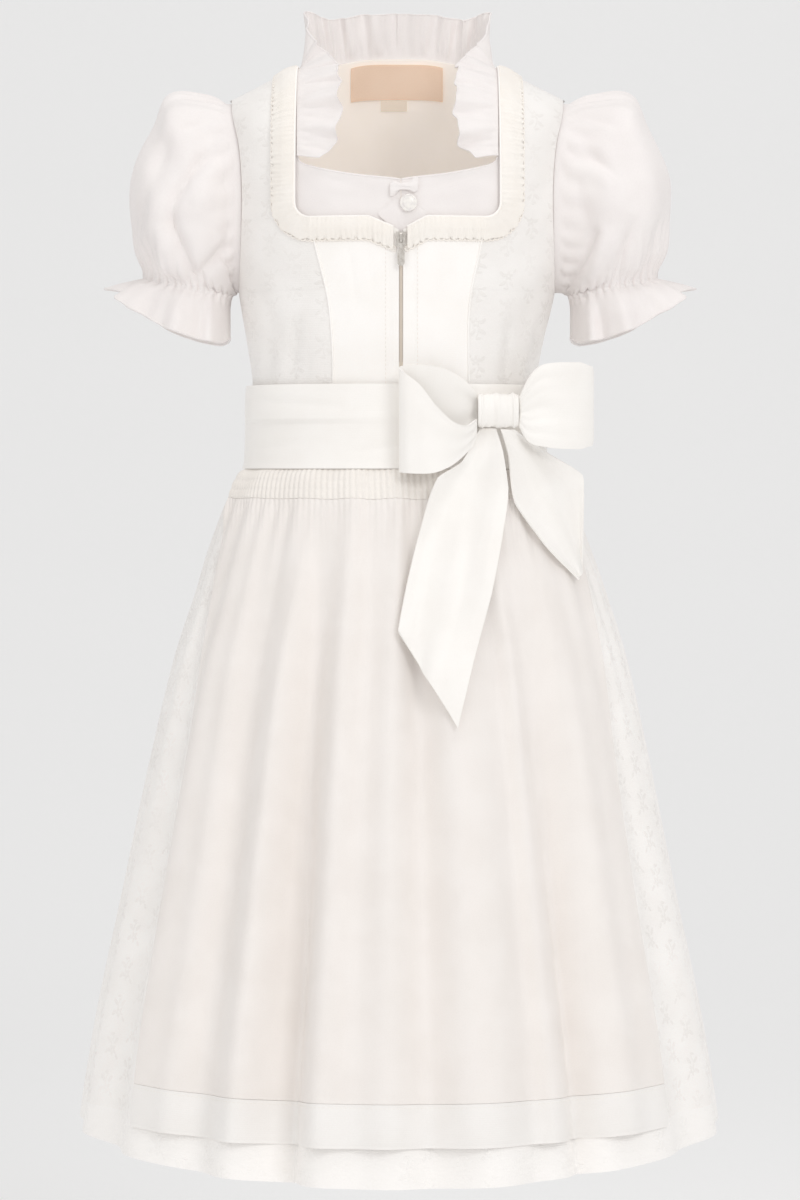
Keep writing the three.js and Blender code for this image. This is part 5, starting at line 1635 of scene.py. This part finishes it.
height = np.linspace(apron_top + 5, smock_bottom, 31)[:, None]
angle = apron_angle(across, np.minimum(height, apron_top))
pleat = 0.5 - 0.5 * np.cos(np.linspace(0, smock_pleats, smock_columns) * 2 * math.pi)[None, :]
shirred = (height - apron_top) / (smock_bottom - apron_top) * smock_lines * math.pi
shirred = np.abs(np.cos(shirred)) ** 6
tucked = ease((height - apron_top + 1) / 4)
ridge = 1.25 * pleat ** 0.8 * (1 - 0.45 * shirred) * (1 - 0.7 * tucked)
base = lerp(skirt_wave(angle, height) + apron_clear, 2.6, tucked)
outer = lifted(skirt_form, angle, height, base + ridge)
inner = lifted(skirt_form, angle, height, base - 1.0)
heading = wear_cloth("apron_heading", outer, inner, False, shaded_smocked_voile, "sheer")

# Sash
# A wide band of heavy satin goes once round the waist over the seam of bodice and skirt, with
# a pressed edge above and below.
sash_satin = cloth_finish(
    "sash satin", linear(249, 246, 242), linear(243, 239, 234), 0.33, 0.0006, 0.00004, 0.1, True,
)
sash_top = -214.5
sash_bottom = -273
sash_lift = 5.3
sash_wall = 2.0
sash_flare = 1.2
sash_round = table(
    "height out",
    (-273, 0),
    (-262, 0.4),
    (-241, 0.5),
    (-220, 0),
    (-214.5, -0.8),
)


def waist_form(angle, height):
    above = body_form(angle, np.maximum(height, waist_height) - chest_height)
    below = skirt_form(angle, np.minimum(height, waist_height))
    return np.where((np.asarray(height) > waist_height)[..., None], above, below)


def waist_out(angle, lift):
    section = section_at(body_table, waist_height)
    out = np.stack([section["front"] * np.sin(angle), -section["half"] * np.cos(angle), 0 * angle], -1)
    return out / np.linalg.norm(out, axis=-1, keepdims=True) * np.asarray(lift)[..., None]


angle = np.linspace(0, 2 * math.pi, 240, endpoint=False)[None, :]
height = np.linspace(sash_top, sash_bottom, 34)[:, None]
place = waist_form(angle, height)
sash_creases = [
    (-98, -226, -40, -230, 3.0, -0.9),
    (-96, -258, -52, -254, 3.5, -0.8),
    (-40, -240, 10, -236, 3.5, 0.8),
    (-30, -262, 6, -256, 3.0, -0.8),
    (86, -228, 104, -224, 3.0, -0.8),
]
swell = np.clip(creases(place, sash_creases) + wavy(place, 26, 0.4), -1.0, 0.4)
for pressed in (sash_top - 1.5, sash_bottom + 1.5):
    swell = swell + 0.25 * np.exp(-((height - pressed) / 1.2) ** 2)
outer = place + waist_out(angle, sash_lift + column(sash_round, "out", height) + swell)
flare = np.where(height < waist_height, sash_flare, 0)
inner = place + waist_out(angle, sash_lift - sash_wall + flare)
sash = wear_cloth("sash_band", outer, inner, True, sash_satin, "satin")

# Bow
# The sash's ends are tied in a bow at the viewer's right: a knot, two loops and two tails that
# are cut on the slant. The satin is gathered where it enters the knot.
knot_x = 67
knot_z = -233
knot_half_length = 14
knot_half_depth = 8.5
knot_half_height = 12.5
knot_sink = 3.2
knot_wall = 1.6
loop_wall = 1.3
tail_wall = 1.2


def sash_front(x, height):
    body = angle_at_x(section_at(body_table, np.maximum(height, waist_height)), x)
    skirt = angle_at_x(section_at(skirt_table, np.minimum(height, waist_height)), x)
    angle = np.where(np.asarray(height) > waist_height, body, skirt)
    return (waist_form(angle, height) + waist_out(angle, sash_lift + 0.6))[..., 1]


knot_y = float(sash_front(knot_x - knot_half_length, knot_z)) - knot_half_depth + knot_sink
turn = np.linspace(0, 2 * math.pi, 72, endpoint=False)
rings = []
for part, swell in zip((-1, -0.7, 0, 0.7, 1), (0.88, 1, 0.94, 1, 0.9)):
    x = np.full_like(turn, knot_x + part * knot_half_length)
    y = knot_y + 0.18 * part * knot_half_length + knot_half_depth * swell * np.sin(turn)
    rings.append(np.stack([x, y, knot_z + knot_half_height * swell * np.cos(turn)], -1))
grid = smooth_through(np.array(rings), 14, False)
along = np.linspace(-1, 1, len(grid))[:, None]
lean = 0.5 * np.sin(turn + 0.6)[None, :]
pleats = 0.75 * np.cos(2 * math.pi * 1.35 * along + 1.6 * along ** 2 + 1.3 * lean)
pleats += 0.3 * np.cos(2 * math.pi * 3.3 * along + 2.2 * lean + 1)
pleats = (pleats - 0.6) * (1 - np.abs(along) ** 6)
centre = grid.mean(1, keepdims=True)
out = (grid - centre) / np.linalg.norm(grid - centre, axis=-1, keepdims=True)
outer = grid + out * pleats[..., None]
inner = outer - out * knot_wall
knot = wear_cloth("bow_knot", outer, inner, True, sash_satin, "satin")

# Columns: across, how far in front of the sash, lower edge, upper edge, lean of the upper edge.
left_loop = [
    (52.2, 1.4, -243, -222, 0),
    (44, 1.2, -254, -213, 2),
    (28, 1.1, -267, -204, 6),
    (12, 1.6, -273, -202, 8),
    (2, 5.5, -275, -202.5, 6),
    (-1.5, 12, -275.5, -204, 2),
    (2.5, 18, -276, -207.5, -1),
    (12, 21.5, -276.5, -215, -3),
    (24, 22.5, -275.5, -230, -3),
    (36, 21, -270, -241, -2),
    (46, 17, -261, -243.5, -1),
    (52.2, 11, -253, -239, 0),
]
lines = []
for x, near, low, high, lean in left_loop:
    across = np.linspace(0, 1, 6)
    seat = float(sash_front(x, sash_bottom + 1)) + 0.9
    y = seat - near - lean * across ** 2
    lines.append(np.stack([np.full_like(across, x), y, lerp(low, high, across)], -1))
grid = smooth_through(np.array(lines), 8, False)
grid = np.swapaxes(smooth_through(np.swapaxes(grid, 0, 1), 8, False), 0, 1)
last = len(left_loop) - 1
row = np.linspace(0, last, len(grid))[:, None]
across = np.linspace(0, 1, grid.shape[1])[None, :]
pulled = np.exp(-row / 1.6) + np.exp(-(last - row) / 1.8)
ripple = pulled * 0.9 * np.cos(2 * math.pi * 2.6 * across + 0.8) * ease(np.minimum(row, last - row) * 2)
ripple += 0.7 * np.exp(-((across - 0.35 - 0.05 * row) / 0.1) ** 2) * ease(1 - np.abs(row - 8.5) / 2.5)
out = grid - back_of(grid, 1.0, False)
outer = grid - out * ripple[..., None] * 0.6
loop = wear_cloth("bow_loop_left", outer, back_of(outer, -loop_wall, False), False, sash_satin, "satin")

loop_start = knot_x + knot_half_length + 1.6
loop_end = 133
part = np.linspace(-1, 1, 61)[:, None]
turn = np.linspace(0, 2 * math.pi, 160, endpoint=False)[None, :]
away = 0.5 - 0.5 * np.cos(turn)
reach = lerp(30, 10.5, np.exp(-away / 0.13)) - 2.5 * ease(away * 5 - 4)
middle = lerp(-234, -229.5, ease(away * 3))
gap = lerp(3.2, 8.5, away) * np.sin(turn)
fade = (1 - away) * np.sin(turn)
crease = 2.4 * np.exp(-(((part + 0.35 * away) / 0.22) ** 2)) * fade
crease = crease + 0.7 * np.cos(2 * math.pi * 3 * part) * np.exp(-away / 0.25) * np.sin(turn)
corner = 2.2 * np.maximum(0, np.abs(part) - 0.8) ** 2 * away * 10
y = knot_y + lerp(-1.5, 24, away ** 1.7) - gap + crease
x = lerp(loop_start, loop_end, away) - corner
outer = np.stack(np.broadcast_arrays(x, y, middle + part * reach), -1)
loop = wear_cloth("bow_loop_right", outer, back_of(outer, -loop_wall, True), True, sash_satin, "satin")

# Columns: the left edge across and up, the right edge across and up, how far clear of the apron.
left_tail = [
    (54.5, -245.85, 65.5, -245.85, 2),
    (41, -268.5, 70, -262, 2),
    (25, -279, 73.5, -286, 3.5),
    (11, -321, 69, -321, 3.5),
    (3.5, -352, 61, -358, 3.5),
    (-2, -381, 49, -401, 3.5),
    (-1.2, -384, 38, -446, 3.5),
]
right_tail = [
    (68.5, -245.9, 78.5, -245.9, 2),
    (73.5, -264, 100, -261, 2.4),
    (78, -297, 126, -277, 3.5),
    (98, -325, 127.5, -292, 3.5),
    (122.5, -350, 126, -343, 3.5),
]


def apron_front(x, height):
    """The outermost fold of the apron near a place, or the sash above it."""
    low = np.minimum(height, apron_top)
    angle = angle_at_x(section_at(skirt_table, low), x)
    nearest = np.zeros_like(x)
    for turned in (-4, -2, 0, 2, 4):
        spot = angle + turned * degree
        point = lifted(skirt_form, spot, low, apron_lift(spot, low) + 0.9)
        nearest = np.minimum(nearest, point[..., 1])
    sash_line = sash_front(x, np.maximum(height, sash_bottom + 1))
    share = ease((height - apron_top) / (sash_bottom + 6 - apron_top))
    return np.minimum(sash_line, lerp(nearest, sash_line, share))


for word, rows, shift in (("left", left_tail, 1), ("right", right_tail, 2)):
    lines = []
    for place, (left_x, left_z, right_x, right_z, clear) in enumerate(rows):
        across = np.linspace(0, 1, 9)
        x = lerp(left_x, right_x, across)
        z = lerp(left_z, right_z, across)
        ripple = 2.2 * min(1, place / 2) * (1 + np.cos(2 * math.pi * across * 1.5 + shift))
        hung = -80 + (x - 70) * 0.5
        low = np.minimum(apron_front(x, z) - clear, hung) - ripple
        y = np.full_like(x, knot_y + 1) if place == 0 else low
        lines.append(np.stack([x, y, z], -1))
    grid = np.array(lines[::-1])
    steps = np.arange(12) / 12
    fine = np.stack([lerp(grid[:-1], grid[1:], part) for part in steps], 1).reshape(-1, *grid.shape[1:])
    straight = np.concatenate([fine, grid[-1:]])
    curved = smooth_through(grid, len(steps), False)
    for axis in (0, 2):
        curved[..., axis] = straight[..., axis] * 0.5 + curved[..., axis] * 0.5
    grid = np.swapaxes(smooth_through(np.swapaxes(curved, 0, 1), 6, False), 0, 1)
    inner = back_of(grid, -tail_wall, False)
    tail = wear_cloth(f"bow_tail_{word}", grid, inner, False, sash_satin, "satin")
